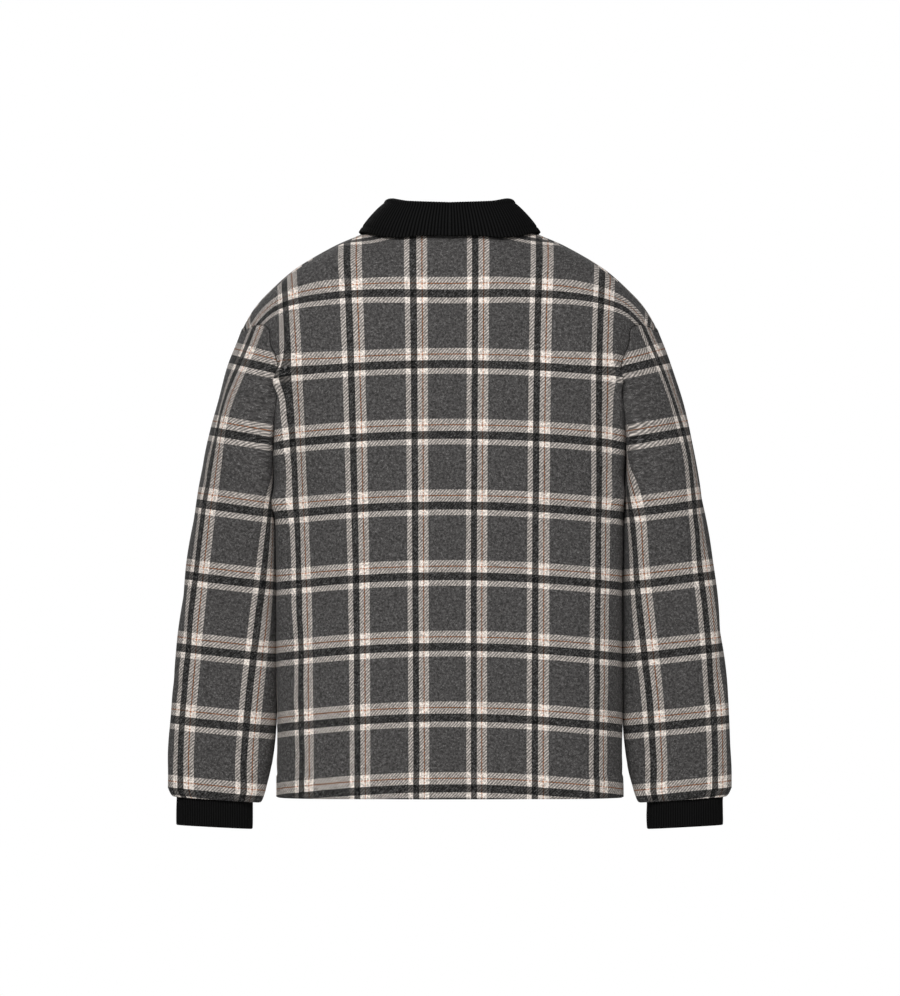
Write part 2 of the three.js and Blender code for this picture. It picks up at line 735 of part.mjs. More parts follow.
// One station of the collar: up the stand, over the roll and down the leaf
function collarProfile(side, round) {
  const { face, place } = neckPlace(round);
  const after = neckPlace(round + seamStep.round);
  const seam = bodyPoint(face, side, place.share, place.down);
  const seamAfter = bodyPoint(after.face, side, after.place.share, after.place.down);
  const normal = bodyNormal(face, side, place);
  const middle = new THREE.Vector3(neckMiddle.x, neckMiddle.y, neckMiddle.z);
  const intoBody = intoBodyCloth(seam, seamAfter, normal, middle);
  const roll = new THREE.Vector3(
    side * collarCurves.rollX(round),
    collarCurves.rollY(round),
    collarCurves.rollZ(round),
  );
  const foot = seam.clone().add(sewnOnOffset(intoBody, normal, roll.clone().sub(seam).normalize()));

  const edgeDown = collarCurves.edgeDown(round);
  const edgeFace = edgeDown > 0 ? 'back' : 'front';
  const edgeX = collarCurves.edgeX(round);
  const edgePlace = { share: shareAtWidth(edgeX, ridgeAt(edgeX)), down: Math.abs(edgeDown) };
  const edge = bodyPoint(edgeFace, side, edgePlace.share, edgePlace.down)
    .addScaledVector(bodyNormal(edgeFace, side, edgePlace), collarCurves.lift(round));

  const outward = edge.clone().sub(foot).setZ(0).normalize();
  const atRoll = (angle) => roll.clone()
    .addScaledVector(outward, -rollRadius * Math.cos(angle))
    .add(new THREE.Vector3(0, 0, rollRadius * Math.sin(angle)));
  const points = [];
  const standSteps = 3;
  const rollSteps = 4;
  const leafSteps = 4;
  for (let i = 0; i < standSteps; i += 1) {
    points.push(foot.clone().lerp(atRoll(0), i / standSteps));
  }
  for (let i = 0; i < rollSteps; i += 1) {
    points.push(atRoll((i / rollSteps) * Math.PI));
  }
  for (let i = 0; i <= leafSteps; i += 1) {
    const share = i / leafSteps;
    const bulge = leafBulge * 4 * share * (1 - share);
    points.push(atRoll(Math.PI).lerp(edge, share).addScaledVector(outward, bulge));
  }
  return points;
}

function collarRows() {
  const backRounds = neckShares('back').reverse().map((share) => (1 - share) / 2);
  const frontRounds = neckShares('front').slice(1).map((share) => (1 + share) / 2);
  const rounds = [...backRounds, ...frontRounds];
  const half = (side) => rounds.map((round) => collarProfile(side, round));
  const left = half(1);
  const right = half(-1);
  left[left.length - 1].forEach((point) => { point.x += collarEndGap / 2; });
  right[right.length - 1].forEach((point) => { point.x -= collarEndGap / 2; });
  return withNormals([...right.slice(1).reverse(), ...left], false);
}

// Button: a turned disc with a raised rim
function buttonGeometry() {
  const rim = 2;
  const dish = 0.7;
  const edgeRound = 0.8;
  const roundSteps = 20;
  const profile = [
    new THREE.Vector2(0, 0),
    new THREE.Vector2(buttonRadius - edgeRound, 0),
    new THREE.Vector2(buttonRadius, edgeRound),
    new THREE.Vector2(buttonRadius, buttonThick - edgeRound),
    new THREE.Vector2(buttonRadius - edgeRound, buttonThick),
    new THREE.Vector2(buttonRadius - rim, buttonThick - dish),
    new THREE.Vector2(0, buttonThick - dish),
  ];
  return new THREE.LatheGeometry(profile, roundSteps);
}

function plainMaterial(color, roughness) {
  return new THREE.MeshStandardMaterial({ color, roughness, metalness: 0 });
}

const flannelMaterial = () => plainMaterial(0x504e4e, 0.95);
const ribMaterial = () => plainMaterial(0x121213, 0.9);
const buttonMaterial = () => plainMaterial(0x1b1a1a, 0.4);

function addMesh(group, name, geometry, material) {
  const mesh = new THREE.Mesh(geometry, material);
  mesh.name = name;
  group.add(mesh);
  return mesh;
}

function addButtons(group) {
  const onFace = 'front';
  for (let k = 0; k < buttonCount; k += 1) {
    const height = firstButton - k * buttonSpacing;
    const place = { share: 0, down: downAtHeight(onFace, 0, height) };
    const normal = bodyNormal(onFace, 1, place);
    const seat = bodyPoint(onFace, 1, place.share, place.down);
    const mesh = addMesh(group, `button_${k + 1}`, buttonGeometry(), buttonMaterial());
    mesh.position.copy(seat).addScaledVector(normal, flannelWall / 2 + seamGap);
    mesh.quaternion.setFromUnitVectors(new THREE.Vector3(0, 1, 0), normal);
  }
}

const shirt = new THREE.Group();
addMesh(shirt, 'back', shellGeometry(backPanelRows(), flannelWall), flannelMaterial());
addMesh(shirt, 'front_left', shellGeometry(panelRows(panels.front, 1), flannelWall), flannelMaterial());
addMesh(shirt, 'front_right', shellGeometry(panelRows(panels.front, -1), flannelWall), flannelMaterial());
addMesh(shirt, 'sleeve_left', shellGeometry(sleeveRows(1), flannelWall, true), flannelMaterial());
addMesh(shirt, 'sleeve_right', shellGeometry(sleeveRows(-1), flannelWall, true), flannelMaterial());
addMesh(shirt, 'collar', shellGeometry(collarRows(), collarWall), ribMaterial());
addMesh(shirt, 'cuff_left', shellGeometry(cuffRows(1), cuffWall, true), ribMaterial());
addMesh(shirt, 'cuff_right', shellGeometry(cuffRows(-1), cuffWall, true), ribMaterial());
addButtons(shirt);

export default shirt;
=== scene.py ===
import math

import bpy
import numpy as np
from bpy.props import FloatProperty, FloatVectorProperty, PointerProperty
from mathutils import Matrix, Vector


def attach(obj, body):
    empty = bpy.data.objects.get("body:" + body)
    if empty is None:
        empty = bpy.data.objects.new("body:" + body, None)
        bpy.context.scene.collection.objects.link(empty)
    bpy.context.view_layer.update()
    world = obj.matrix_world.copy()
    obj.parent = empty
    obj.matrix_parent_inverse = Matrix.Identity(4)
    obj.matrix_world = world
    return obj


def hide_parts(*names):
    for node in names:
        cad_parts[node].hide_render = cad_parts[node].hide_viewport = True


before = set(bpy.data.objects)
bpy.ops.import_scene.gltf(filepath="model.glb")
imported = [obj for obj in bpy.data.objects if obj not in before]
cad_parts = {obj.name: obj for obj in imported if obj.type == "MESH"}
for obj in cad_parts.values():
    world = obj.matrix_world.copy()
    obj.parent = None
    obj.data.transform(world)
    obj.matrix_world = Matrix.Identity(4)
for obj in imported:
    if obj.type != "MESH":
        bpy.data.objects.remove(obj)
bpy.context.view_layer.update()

bl_info = {
    "name": "Flannel overshirt",
    "version": (1, 0, 0),
    "blender": (4, 5, 0),
    "location": "View3D > Sidebar > Shirt",
    "description": "Check flannel overshirt with rib-knit collar and cuffs, filled out as worn",
    "category": "Add Mesh",
}


def table(columns, *rows):
    """A short table as named columns."""
    return {name: np.array([row[i] for row in rows], float) for i, name in enumerate(columns.split())}


# The pattern's sizes, in millimetres, as the panels were cut
HEM_HEIGHT = -700
ARMPIT_HEIGHT = -300
SECTION_POWER = 3
ROUND_WIDTH = 215
ROUND_DEPTH = 104
RIDGE_FORWARD = -8
SIDE_NECK = 88
SHOULDER_POINT = 259
SHOULDER_SEAM_DOWN = 23
BUTTON_LAP = 17.5
LAP_SHIFT = 1.25
LAP_FADE = 60
SHOULDER_SEAM_BOW = 0.12
NECK_ENDS = {"back": 1, "front": 1.1}
HEIGHT_PASSES = 8
SEAM_STEP = 0.01
SEAM_GAP = 0.3
FLANNEL_WALL = 2
COLLAR_WALL = 2.2
CUFF_WALL = 2.4

BACK_ARCH = {"height": 140, "depth": 114}
FRONT_ARCH = {"height": 170, "depth": 86}
ARCHES = {"back": BACK_ARCH, "front": FRONT_ARCH}
FACES = ("back", "front")
FACE_SIGN = {"back": 1, "front": -1}
WEARER_SIDE = {1: "left", -1: "right"}
NECK_SPREAD = {"back": 0.36, "front": 0.42}
TOP_PULL = {"share": 10, "down": 3}

WIDTH_SECTIONS = table(
    "z half_width",
    (-700, 214.5), (-450, 214.5), (-345, 215.2), (-300, 217.5), (-258, 226),
    (-212, 242), (-168, 255), (-119, 260), (-60, 262), (40, 262),
)
DEPTH_SECTIONS = table(
    "z back front",
    (-700, 101, 104), (-560, 101, 104), (-430, 101, 105), (-300, 104, 107),
    (-180, 107, 104), (-76, 104, 87), (40, 100, 80),
)
SHOULDER_RIDGE = table(
    "x z",
    (0, 37), (44, 32), (70, 22), (88, 12.5), (110, 2.8), (146, -13),
    (194, -41.6), (229, -73), (245, -92), (259, -117), (285, -176),
)
BACK_NECK = table("share x down", (0, 88, 23), (0.2, 81, 40), (0.42, 66, 57), (0.68, 40, 74), (1, 0, 81))
FRONT_NECK = table(
    "share x down",
    (0, 88, -23), (0.13, 87.6, 18), (0.28, 84.5, 70), (0.45, 75, 112),
    (0.62, 58, 141), (0.8, 33, 159), (1, 0, 165), (1.1, -17.5, 165),
)
BACK_ARMHOLE = table(
    "along x y z",
    (0.1, 243, 47, -126), (0.2, 227, 64, -140), (0.3, 217.5, 73, -154),
    (0.4, 213, 77, -172), (0.6, 216, 66, -213), (0.8, 218.5, 40, -259),
)
FRONT_ARMHOLE = table(
    "along x y z",
    (0.12, 238, -46, -130), (0.25, 221, -64, -150), (0.4, 212, -73, -182),
    (0.6, 212, -68, -224), (0.8, 215.5, -44, -265),
)

# Folds in the body cloth: the line of each, how wide it is and its depth at the two ends
BODY_FOLDS = table(
    "back x0 z0 x1 z1 reach depth0 depth1",
    (1, 226, -70, 214, -178, 17, 2, 19),
    (1, -226, -74, -214, -176, 15, 1, 14),
    (1, 206, -200, 196, -330, 16, 9, 2),
    (1, -207, -200, -198, -320, 15, 7, 2),
    (1, 184, -120, 176, -250, 22, -1, -4),
    (1, -186, -120, -178, -245, 22, -1, -3),
    (1, 96, -430, 104, -760, 34, 0, 5),
    (1, -84, -400, -96, -760, 36, 0, 5),
    (1, 6, -470, 12, -760, 40, 0, -4),
    (1, 168, -480, 172, -760, 30, 0, -4),
    (1, -160, -460, -168, -760, 30, 0, -4),
    (0, 222, -90, 210, -196, 17, 2, 15),
    (0, -222, -90, -210, -192, 17, 2, 13),
    (0, 128, -210, 118, -470, 34, 1, 5),
    (0, -122, -220, -112, -450, 34, 1, 5),
    (0, 92, -480, 98, -760, 36, 0, 5),
    (0, -98, -470, -104, -760, 36, 0, 4),
    (0, 158, -430, 166, -760, 30, 0, -4),
    (0, -164, -440, -170, -760, 30, 0, -4),
)

# Softer folds of wear, which only the cloth's own piece has
WORN_FOLDS = table(
    "back x0 z0 x1 z1 reach depth0 depth1",
    (1, 227, -78, 209, -172, 9, 3, 11),
    (1, 209, -172, 205, -330, 9, 11, 8),
    (1, 205, -330, 207, -600, 9, 8, 2),
    (1, -226, -84, -209, -172, 8, 2, 8),
    (1, -209, -172, -206, -320, 8, 8, 6),
    (1, -206, -320, -208, -560, 8, 6, 1),
    (1, 150, -262, 60, -318, 16, 0.2, 1.4),
    (1, -160, -252, -80, -330, 16, 0.2, 1.2),
    (1, 186, -470, 120, -560, 15, 1.6, 0.2),
    (1, -182, -500, -118, -570, 15, 1.4, 0.2),
    (0, 226, -80, 209, -172, 9, 3, 9),
    (0, 209, -172, 205, -330, 9, 9, 7),
    (0, 205, -330, 207, -600, 9, 7, 2),
    (0, -226, -82, -209, -172, 8, 2, 8),
    (0, -209, -172, -206, -320, 8, 8, 5),
    (0, -206, -320, -208, -560, 8, 5, 1),
    (0, 160, -250, 70, -330, 17, 0.3, 2),
    (0, -150, -270, -60, -330, 17, 0.3, 1.8),
    (0, 176, -450, 110, -560, 15, 1.6, 0.2),
    (0, -170, -480, -116, -590, 15, 1.6, 0.2),
)

SLEEVE_SECTIONS = table(
    "along outer_x outer_z inner_x inner_z half_depth middle_y",
    (0, 259, -117, 220.3, -300, 76, -3),
    (0.11, 282, -178, 219, -344, 71, -3),
    (0.22, 298.5, -240, 218.2, -388, 63, -3),
    (0.38, 316.5, -330, 217.9, -452, 52, -4),
    (0.58, 333.5, -449, 217.9, -532, 43, -7),
    (0.8, 347, -578, 218.4, -618, 35, -12),
    (0.9, 350.8, -637, 223, -658, 31.5, -15),
    (1, 351.8, -688, 231.5, -693, 28.5, -18),
)
SLEEVE_POWER = 2.4
SLEEVE_INNER = 217.9
SLEEVE_LEAN = 1.3
ARMHOLE_BLEND = 0.27
ARMHOLE_MIDDLE = (240, 0, -210)
NECK_MIDDLE = (0, -10, -30)
SLEEVE_TURN = table("inset outer_drop inner_drop", (3.4, 7.5, 9.5), (6.6, 10.5, 13))
TURNED_IN_RISE = (2.5, 9)

# Creases in the sleeve cloth, on its own arc from the outer line and its own height
SLEEVE_FOLDS = table(
    "side arc0 z0 arc1 z1 reach depth0 depth1",
    (1, 150, -300, 96, -352, 9, 2.4, 0.4),
    (1, 158, -392, 104, -430, 9, 2.2, 0.3),
    (1, 150, -500, 92, -532, 8, 2, 0.3),
    (1, 24, -300, 66, -330, 10, 1.6, 0.3),
    (1, 18, -560, 60, -582, 10, 1.6, 0.3),
    (1, 140, -620, 86, -652, 8, 2, 0.4),
    (1, 70, -640, 78, -720, 9, 0.3, 2),
    (1, 112, -650, 118, -720, 8, 0.3, 1.8),
    (1, 36, -655, 34, -720, 9, 0.3, 1.8),
    (-1, 152, -320, 100, -368, 9, 2.2, 0.4),
    (-1, 158, -428, 108, -460, 9, 2.2, 0.3),
    (-1, 150, -540, 96, -566, 8, 1.8, 0.3),
    (-1, 22, -340, 62, -362, 10, 1.6, 0.3),
    (-1, 142, -630, 92, -660, 8, 1.8, 0.4),
    (-1, 64, -640, 70, -720, 9, 0.3, 1.8),
    (-1, 104, -650, 112, -720, 8, 0.3, 2),
    (-1, 30, -655, 30, -720, 9, 0.3, 1.6),
    (1, -150, -330, -100, -370, 9, 2.2, 0.4),
    (1, -152, -470, -100, -500, 9, 2, 0.3),
    (-1, -150, -320, -100, -362, 9, 2.2, 0.4),
    (-1, -152, -480, -100, -514, 9, 2, 0.3),
)

CUFF = {
    "middle_x": 294.2, "middle_y": -18.5, "half_width": 46.6, "half_depth": 21.5,
    "top_outer": -686, "top_inner": -690, "bottom_outer": -735, "bottom_inner": -740, "power": 2.6,
}
COLLAR_STATIONS = table(
    "round roll_x roll_y roll_z edge_x edge_down lift",
    (0, 0, 61, 36.6, 0, 101, 7),
    (0.25, 50, 48, 38.6, 66, 85, 6),
    (0.5, 76, 10, 41.8, 110, 14, 3.4),
    (0.62, 72, -24, 30, 106, -48, 3.6),
    (0.78, 56, -62, -6, 88, -116, 4),
    (1, 6, -88, -54, 46, -196, 4),
)
COLLAR_OUT = 1
ROLL_RADIUS = 4.5
LEAF_BULGE = 2.5
COLLAR_END_GAP = 1.6
COLLAR_BAND = 8.75
CUFF_ROUND = 233

# Sewing in millimetres: the hem's stitched line, the front edge's and a stitch's thread
STITCH_GROOVE = 1.8
FRONT_STITCH_INSET = 32
STITCH_GAP = 1.1
STITCH_THREAD = 0.34

BUTTON_COUNT = 6
FIRST_BUTTON = -98
BUTTON_SPACING = 100

# Where the check's orange lines run: down the cloth, and across it on each piece
CHECK_ACROSS = 77.0
CHECK_DOWN = 87.7
ORANGE_IN_COLUMN = 20.9
ORANGE_ROW = -147.4
FRONT_COLUMN = 38.5
TWILLS_ACROSS = 19
TWILLS_DOWN = 21
ROW_SAG = {"high": 8.5, "low": 12}
CAP_WIDTH = 222.0
CAP_EASE = 6
NAPE_LIFT = 3.5

# The bands of a repeat in millimetres: tone, start and end, where a later band lies over an earlier one
COLUMN_BANDS = (("Cream", 0, 6.25), ("Dark", 6.25, 14.35), ("Cream", 14.35, 27.45), ("Orange", 20.15, 21.65))
ROW_BANDS = (
    ("Cream", -0.1, 7.5), ("Cream", CHECK_DOWN - 7.5, CHECK_DOWN + 0.1),
    ("Dark", 7.5, 17.5), ("Cream", 17.5, 24.4),
    ("Orange", -0.1, 0.75), ("Orange", CHECK_DOWN - 0.75, CHECK_DOWN + 0.1),
)

# Where the back's six orange lines run, seen level from behind. A script matched them to the photo, all but
# the outer pair of the last row.
BACK_LINES = table(
    "z left_outer left_middle left_inner right_inner right_middle right_outer",
    (-645, 174, 104.4, 31.1, -39.8, -116, -191),
    (-469, 176.5, 105.3, 32.1, -39.8, -116.6, -191.9),
    (-291, 183.6, 108.1, 32.8, -40.6, -117.3, -194.1),
    (-114, 192.1, 112.8, 33.6, -41.9, -119.8, -196.9),
    (-31, 198, 116.1, 34.4, -42.3, -122.3, -201),
)
# The orange line down the back of each sleeve, matched in the same way but for its two highest places
SLEEVE_LINES = table(
    "z left right",
    (-645, 325.9, 341), (-557, 319.9, 335.4), (-469, 311.5, 326.9), (-380, 301.9, 316.6),
    (-291, 290.6, 304.4), (-201, 274.6, 288.1), (-124, 260.5, 270), (-90, 252, 258),
)
SLEEVE_COLUMN_SPACE = {"left": 80.0, "right": 77.5}
SLEEVE_LINE_TOP = {"left": -200, "right": -270}
SLEEVE_ROW_STRETCH = 0.975
SLEEVE_ROW_START = -4.7
SLEEVE_ROW_TILT = 6.5
SLEEVE_LINE_EASE = 6


# Plain working

def lerp(a, b, share):
    return a + (b - a) * share


def smooth_step(share):
    s = np.clip(share, 0, 1)
    return s * s * (3 - 2 * s)


def unit(vectors):
    return vectors / np.maximum(np.linalg.norm(vectors, axis=-1, keepdims=True), 1e-12)


def length_along(points):
    """The length from the first point to each of the others."""
    steps = np.linalg.norm(np.diff(points, axis=0), axis=-1)
    return np.concatenate([np.zeros((1, *steps.shape[1:])), np.cumsum(steps, axis=0)])


def curve_through(rows, key, value):
    """A smooth curve through one column of a table, as a function of another column."""
    at, to = rows[key], rows[value]
    index = np.arange(len(at))
    before, after = np.maximum(index - 1, 0), np.minimum(index + 1, len(at) - 1)
    slope = (to[after] - to[before]) / (at[after] - at[before])

    def curve(place):
        x = np.clip(np.asarray(place, float), at[0], at[-1])
        i = np.clip(np.searchsorted(at, x, side="right") - 1, 0, len(at) - 2)
        span, rise = at[i + 1] - at[i], to[i + 1] - to[i]
        s = (x - at[i]) / span
        bend_start, bend_end = slope[i] * span - rise, rise - slope[i + 1] * span
        return to[i] + rise * s + s * (1 - s) * (bend_start * (1 - s) + bend_end * s)

    return curve


half_width_at = curve_through(WIDTH_SECTIONS, "z", "half_width")
depth_at = {face: curve_through(DEPTH_SECTIONS, "z", face) for face in FACES}
ridge_at = curve_through(SHOULDER_RIDGE, "x", "z")
back_line_at = {key: curve_through(BACK_LINES, "z", key) for key in list(BACK_LINES)[1:]}
sleeve_line_at = {key: curve_through(SLEEVE_LINES, "z", key) for key in ("left", "right")}
outer_edge_at = curve_through({key: SLEEVE_SECTIONS["outer_" + key][::-1] for key in "zx"}, "z", "x")
sleeve_at = {key: curve_through(SLEEVE_SECTIONS, "along", key) for key in SLEEVE_SECTIONS if key != "along"}
collar_at = {key: curve_through(COLLAR_STATIONS, "round", key) for key in COLLAR_STATIONS if key != "round"}


def round_quarter():
    """A quarter of the level section, from the centre to the side, stepped by arc length."""
    angle = np.linspace(0, math.pi / 2, 601)
    across = np.sin(angle) ** (2 / SECTION_POWER)
    out = np.clip(np.cos(angle), 0, 1) ** (2 / SECTION_POWER)
    out[-1] = 0
    steps = np.hypot(np.diff(across) * ROUND_WIDTH, np.diff(out) * ROUND_DEPTH)
    length = np.concatenate([[0], np.cumsum(steps)])
    return length / length[-1], across, out, length[-1]


ROUND_SHARE, ROUND_ACROSS, ROUND_OUT, ROUND_LENGTH = round_quarter()


def round_point(share):
    size = np.abs(share)
    folded = np.where(size > 1, 2 - size, size)
    out = np.interp(folded, ROUND_SHARE, ROUND_OUT)
    return np.sign(share) * np.interp(folded, ROUND_SHARE, ROUND_ACROSS), np.where(size > 1, -out, out)


def round_share(across):
    return np.sign(across) * np.interp(np.minimum(np.abs(across), 1), ROUND_ACROSS, ROUND_SHARE)


def arch_radius(arch):
    return math.sqrt((arch["height"] ** 2 + arch["depth"] ** 2) / 2)


def arch_drop(arch, down):
    radius = arch_radius(arch)
    bent = arch["height"] * (1 - np.cos(np.minimum(down / radius, math.pi / 2)))
    return np.where(down < radius * math.pi / 2, bent, arch["height"] + down - radius * math.pi / 2)


def arch_down(arch, drop):
    radius = arch_radius(arch)
    bent = radius * np.arccos(np.clip(1 - drop / arch["height"], -1, 1))
    return np.where(drop < arch["height"], bent, drop - arch["height"] + radius * math.pi / 2)


def fold_depth(folds, picked, x, z):
    """How far the picked folds push the cloth in at a place."""
    depth = np.zeros(np.broadcast(x, z).shape)
    for k in np.flatnonzero(picked):
        length_x, length_z = folds["x1"][k] - folds["x0"][k], folds["z1"][k] - folds["z0"][k]
        length = math.hypot(length_x, length_z)
        along = ((x - folds["x0"][k]) * length_x + (z - folds["z0"][k]) * length_z) / length ** 2
        aside = ((x - folds["x0"][k]) * length_z - (z - folds["z0"][k]) * length_x) / length
        beyond = np.maximum(np.maximum(-along, along - 1), 0) * length
        distance = np.hypot(aside, beyond * 0.5) / folds["reach"][k]
        size = lerp(folds["depth0"][k], folds["depth1"][k], np.clip(along, 0, 1))
        depth += size * np.exp(-distance * distance)
    return depth


def soft_waves(a, b, wavelength, depth, seed):
    """Low uneven waves, as in cloth that has been worn and put on again."""
    rng = np.random.default_rng(seed)
    total = np.zeros(np.broadcast(a, b).shape)
    for _ in range(7):
        turn, phase = rng.uniform(0, math.pi), rng.uniform(0, 2 * math.pi)
        length = wavelength * rng.uniform(0.6, 1.7)
        total += np.sin((a * math.cos(turn) + b * math.sin(turn)) * 2 * math.pi / length + phase)
    return total * depth / 2.6


# The body's surface

def body_point(face, side, share, down):
    """A place on the body: the share of the way round and the way down the cloth from the ridge."""
    share, down = np.broadcast_arrays(np.asarray(share, float), np.asarray(down, float))
    back = (down < 0) | (face == "back")
    across, out = round_point(share)
    size = np.abs(down)
    drop = np.where(back, arch_drop(BACK_ARCH, size), arch_drop(FRONT_ARCH, size))
    radius = np.where(back, arch_radius(BACK_ARCH), arch_radius(FRONT_ARCH))
    rise = np.sin(np.minimum(size / radius, math.pi / 2))
    x = across * ROUND_WIDTH
    for _ in range(HEIGHT_PASSES):
        z = ridge_at(np.abs(x)) - drop
        x = across * half_width_at(z)
    direction = np.where(back, 1.0, -1.0)
    straight = np.where(back, depth_at["back"](z), depth_at["front"](z)) - direction * RIDGE_FORWARD
    on_back = fold_depth(BODY_FOLDS, BODY_FOLDS["back"] == 1, side * x, z)
    on_front = fold_depth(BODY_FOLDS, BODY_FOLDS["back"] == 0, side * x, z)
    folded = straight - np.where(back, on_back, on_front)
    y = RIDGE_FORWARD + direction * rise * out * folded
    if face == "front":
        y = y - side * LAP_SHIFT * (1 - smooth_step((np.abs(x) - BUTTON_LAP) / LAP_FADE))
    return np.stack([side * x, y, z], -1)


def body_normal(face, side, share, down):
    step, span = 0.002, 0.6
    around = body_point(face, side, share + step, down) - body_point(face, side, share - step, down)
    along = body_point(face, side, share, down + span) - body_point(face, side, share, down - span)
    return unit(np.cross(around, along)) * side * FACE_SIGN[face]


def down_at_height(face, share, z):
    x = np.abs(round_point(share)[0]) * half_width_at(z)
    return arch_down(ARCHES[face], ridge_at(x) - z)


def share_at_width(x, z):
    return round_share(x / half_width_at(z))


def neck_seam(face):
    rows = BACK_NECK if face == "back" else FRONT_NECK
    x_at, down_at = curve_through(rows, "share", "x"), curve_through(rows, "share", "down")

    def seam(share):
        x = x_at(share)
        return share_at_width(x, ridge_at(np.abs(x))), down_at(share)

    return seam


def shoulder_seam(face):
    def seam(share):
        bowed = share * (1 + SHOULDER_SEAM_BOW - SHOULDER_SEAM_BOW * share)
        x = SIDE_NECK + (SHOULDER_POINT - SIDE_NECK) * bowed
        down = np.full(np.shape(x), float(FACE_SIGN[face] * SHOULDER_SEAM_DOWN))
        return share_at_width(x, ridge_at(x)), down

    return seam


def armhole_seam(face):
    arch = ARCHES[face]
    rows = BACK_ARMHOLE if face == "back" else FRONT_ARMHOLE
    down = arch_down(arch, ridge_at(rows["x"]) - rows["z"])
    rise = np.sin(np.minimum(down / arch_radius(arch), math.pi / 2))
    straight = depth_at[face](rows["z"]) - FACE_SIGN[face] * RIDGE_FORWARD
    ratio = np.abs(rows["y"] - RIDGE_FORWARD) / (straight * rise) / (rows["x"] / half_width_at(rows["z"]))
    share = round_share((1 + ratio ** SECTION_POWER) ** (-1 / SECTION_POWER))
    top = shoulder_seam(face)(np.array(1.0))
    full = {
        "along": np.concatenate([[0], rows["along"], [1]]),
        "share": np.concatenate([[float(top[0])], share, [1]]),
        "down": np.concatenate([[float(top[1])], down, [float(down_at_height(face, 1, ARMPIT_HEIGHT))]]),
    }
    share_curve, down_curve = curve_through(full, "along", "share"), curve_through(full, "along", "down")
    return lambda along: (share_curve(along), down_curve(along))


NECKS = {face: neck_seam(face) for face in FACES}
ARMHOLES = {face: armhole_seam(face) for face in FACES}


def two_spans(split, first, second):
    """Even steps from 0 to a split, and on from there to 1."""
    return np.concatenate([np.linspace(0, split, first + 1), np.linspace(split, 1, second + 1)[1:]])


def panel_places(face, neck_columns, shoulder_columns, rows_below, rows_above):
    """A body panel from the centre to the side and from hem to shoulder, between its edges."""
    neck, shoulder, armhole = NECKS[face], shoulder_seam(face), ARMHOLES[face]
    neck_end = NECK_ENDS[face]
    centre_share, centre_down = (float(part) for part in neck(np.array(float(neck_end))))
    u_neck = (NECK_SPREAD[face] - centre_share) / (1 - centre_share)
    hem_down = down_at_height(face, centre_share, HEM_HEIGHT)
    v_armpit = float((ARMPIT_HEIGHT - HEM_HEIGHT) / (hem_down - centre_down))

    def bottom_edge(u):
        share = lerp(centre_share, 1, u)
        return share, down_at_height(face, share, HEM_HEIGHT)

    def top_edge(u):
        near = neck(neck_end * (1 - np.minimum(u / u_neck, 1)))
        far = shoulder(np.clip((u - u_neck) / (1 - u_neck), 0, 1))
        return [np.where(u <= u_neck, near[k], far[k]) for k in range(2)]

    def side_edge(v):
        high = armhole(1 - np.clip((v - v_armpit) / (1 - v_armpit), 0, 1))
        low = down_at_height(face, 1, lerp(HEM_HEIGHT, ARMPIT_HEIGHT, np.minimum(v / v_armpit, 1)))
        return [np.where(v > v_armpit, high[0], 1.0), np.where(v > v_armpit, high[1], low)]

    u, v = np.meshgrid(
        two_spans(u_neck, neck_columns, shoulder_columns),
        two_spans(v_armpit, rows_below, rows_above),
    )
    last = top_edge(np.array(1.0))
    places = []
    for k, key in enumerate(("share", "down")):
        start = (centre_share, centre_down)[k]

        def plain(u_at, v_at):
            low = bottom_edge(u_at)
            if key == "share":
                return low[0] + 0 * v_at
            return lerp(low[1], lerp(start, last[1], u_at), v_at)

        to_top = top_edge(u)[k] - plain(u, 1.0)
        to_side = side_edge(v)[k] - plain(np.array(1.0), v)
        to_corner = last[k] - plain(np.array(1.0), 1.0)
        near_top, near_side = v ** TOP_PULL[key], u ** 2
        pulled = plain(u, v) + near_top * to_top + near_side * to_side
        places.append(pulled - near_side * near_top * to_corner)
    return places[0], places[1], u, v


# Places on the check: across it in repeats, and up it in repeats

def check_place(column, up):
    """A place on the check from the count of orange lines and the height on the cloth."""
    return np.stack([column + ORANGE_IN_COLUMN / CHECK_ACROSS, (up - ORANGE_ROW) / CHECK_DOWN], -1)


def back_column(side, share, z):
    """Counts the orange lines of the back from left to right."""
    half_width = half_width_at(z)
    arc = side * share * ROUND_LENGTH * half_width / ROUND_WIDTH
    lines = []
    for key in list(BACK_LINES)[1:]:
        x = back_line_at[key](z)
        lines.append(round_share(x / half_width) * ROUND_LENGTH * half_width / ROUND_WIDTH)
    column = (np.maximum(lines[-1] - arc, 0) - np.maximum(arc - lines[0], 0)) / CHECK_ACROSS
    for before, after in zip(lines, lines[1:]):
        column = column + np.clip((before - arc) / (before - after), 0, 1)
    return column


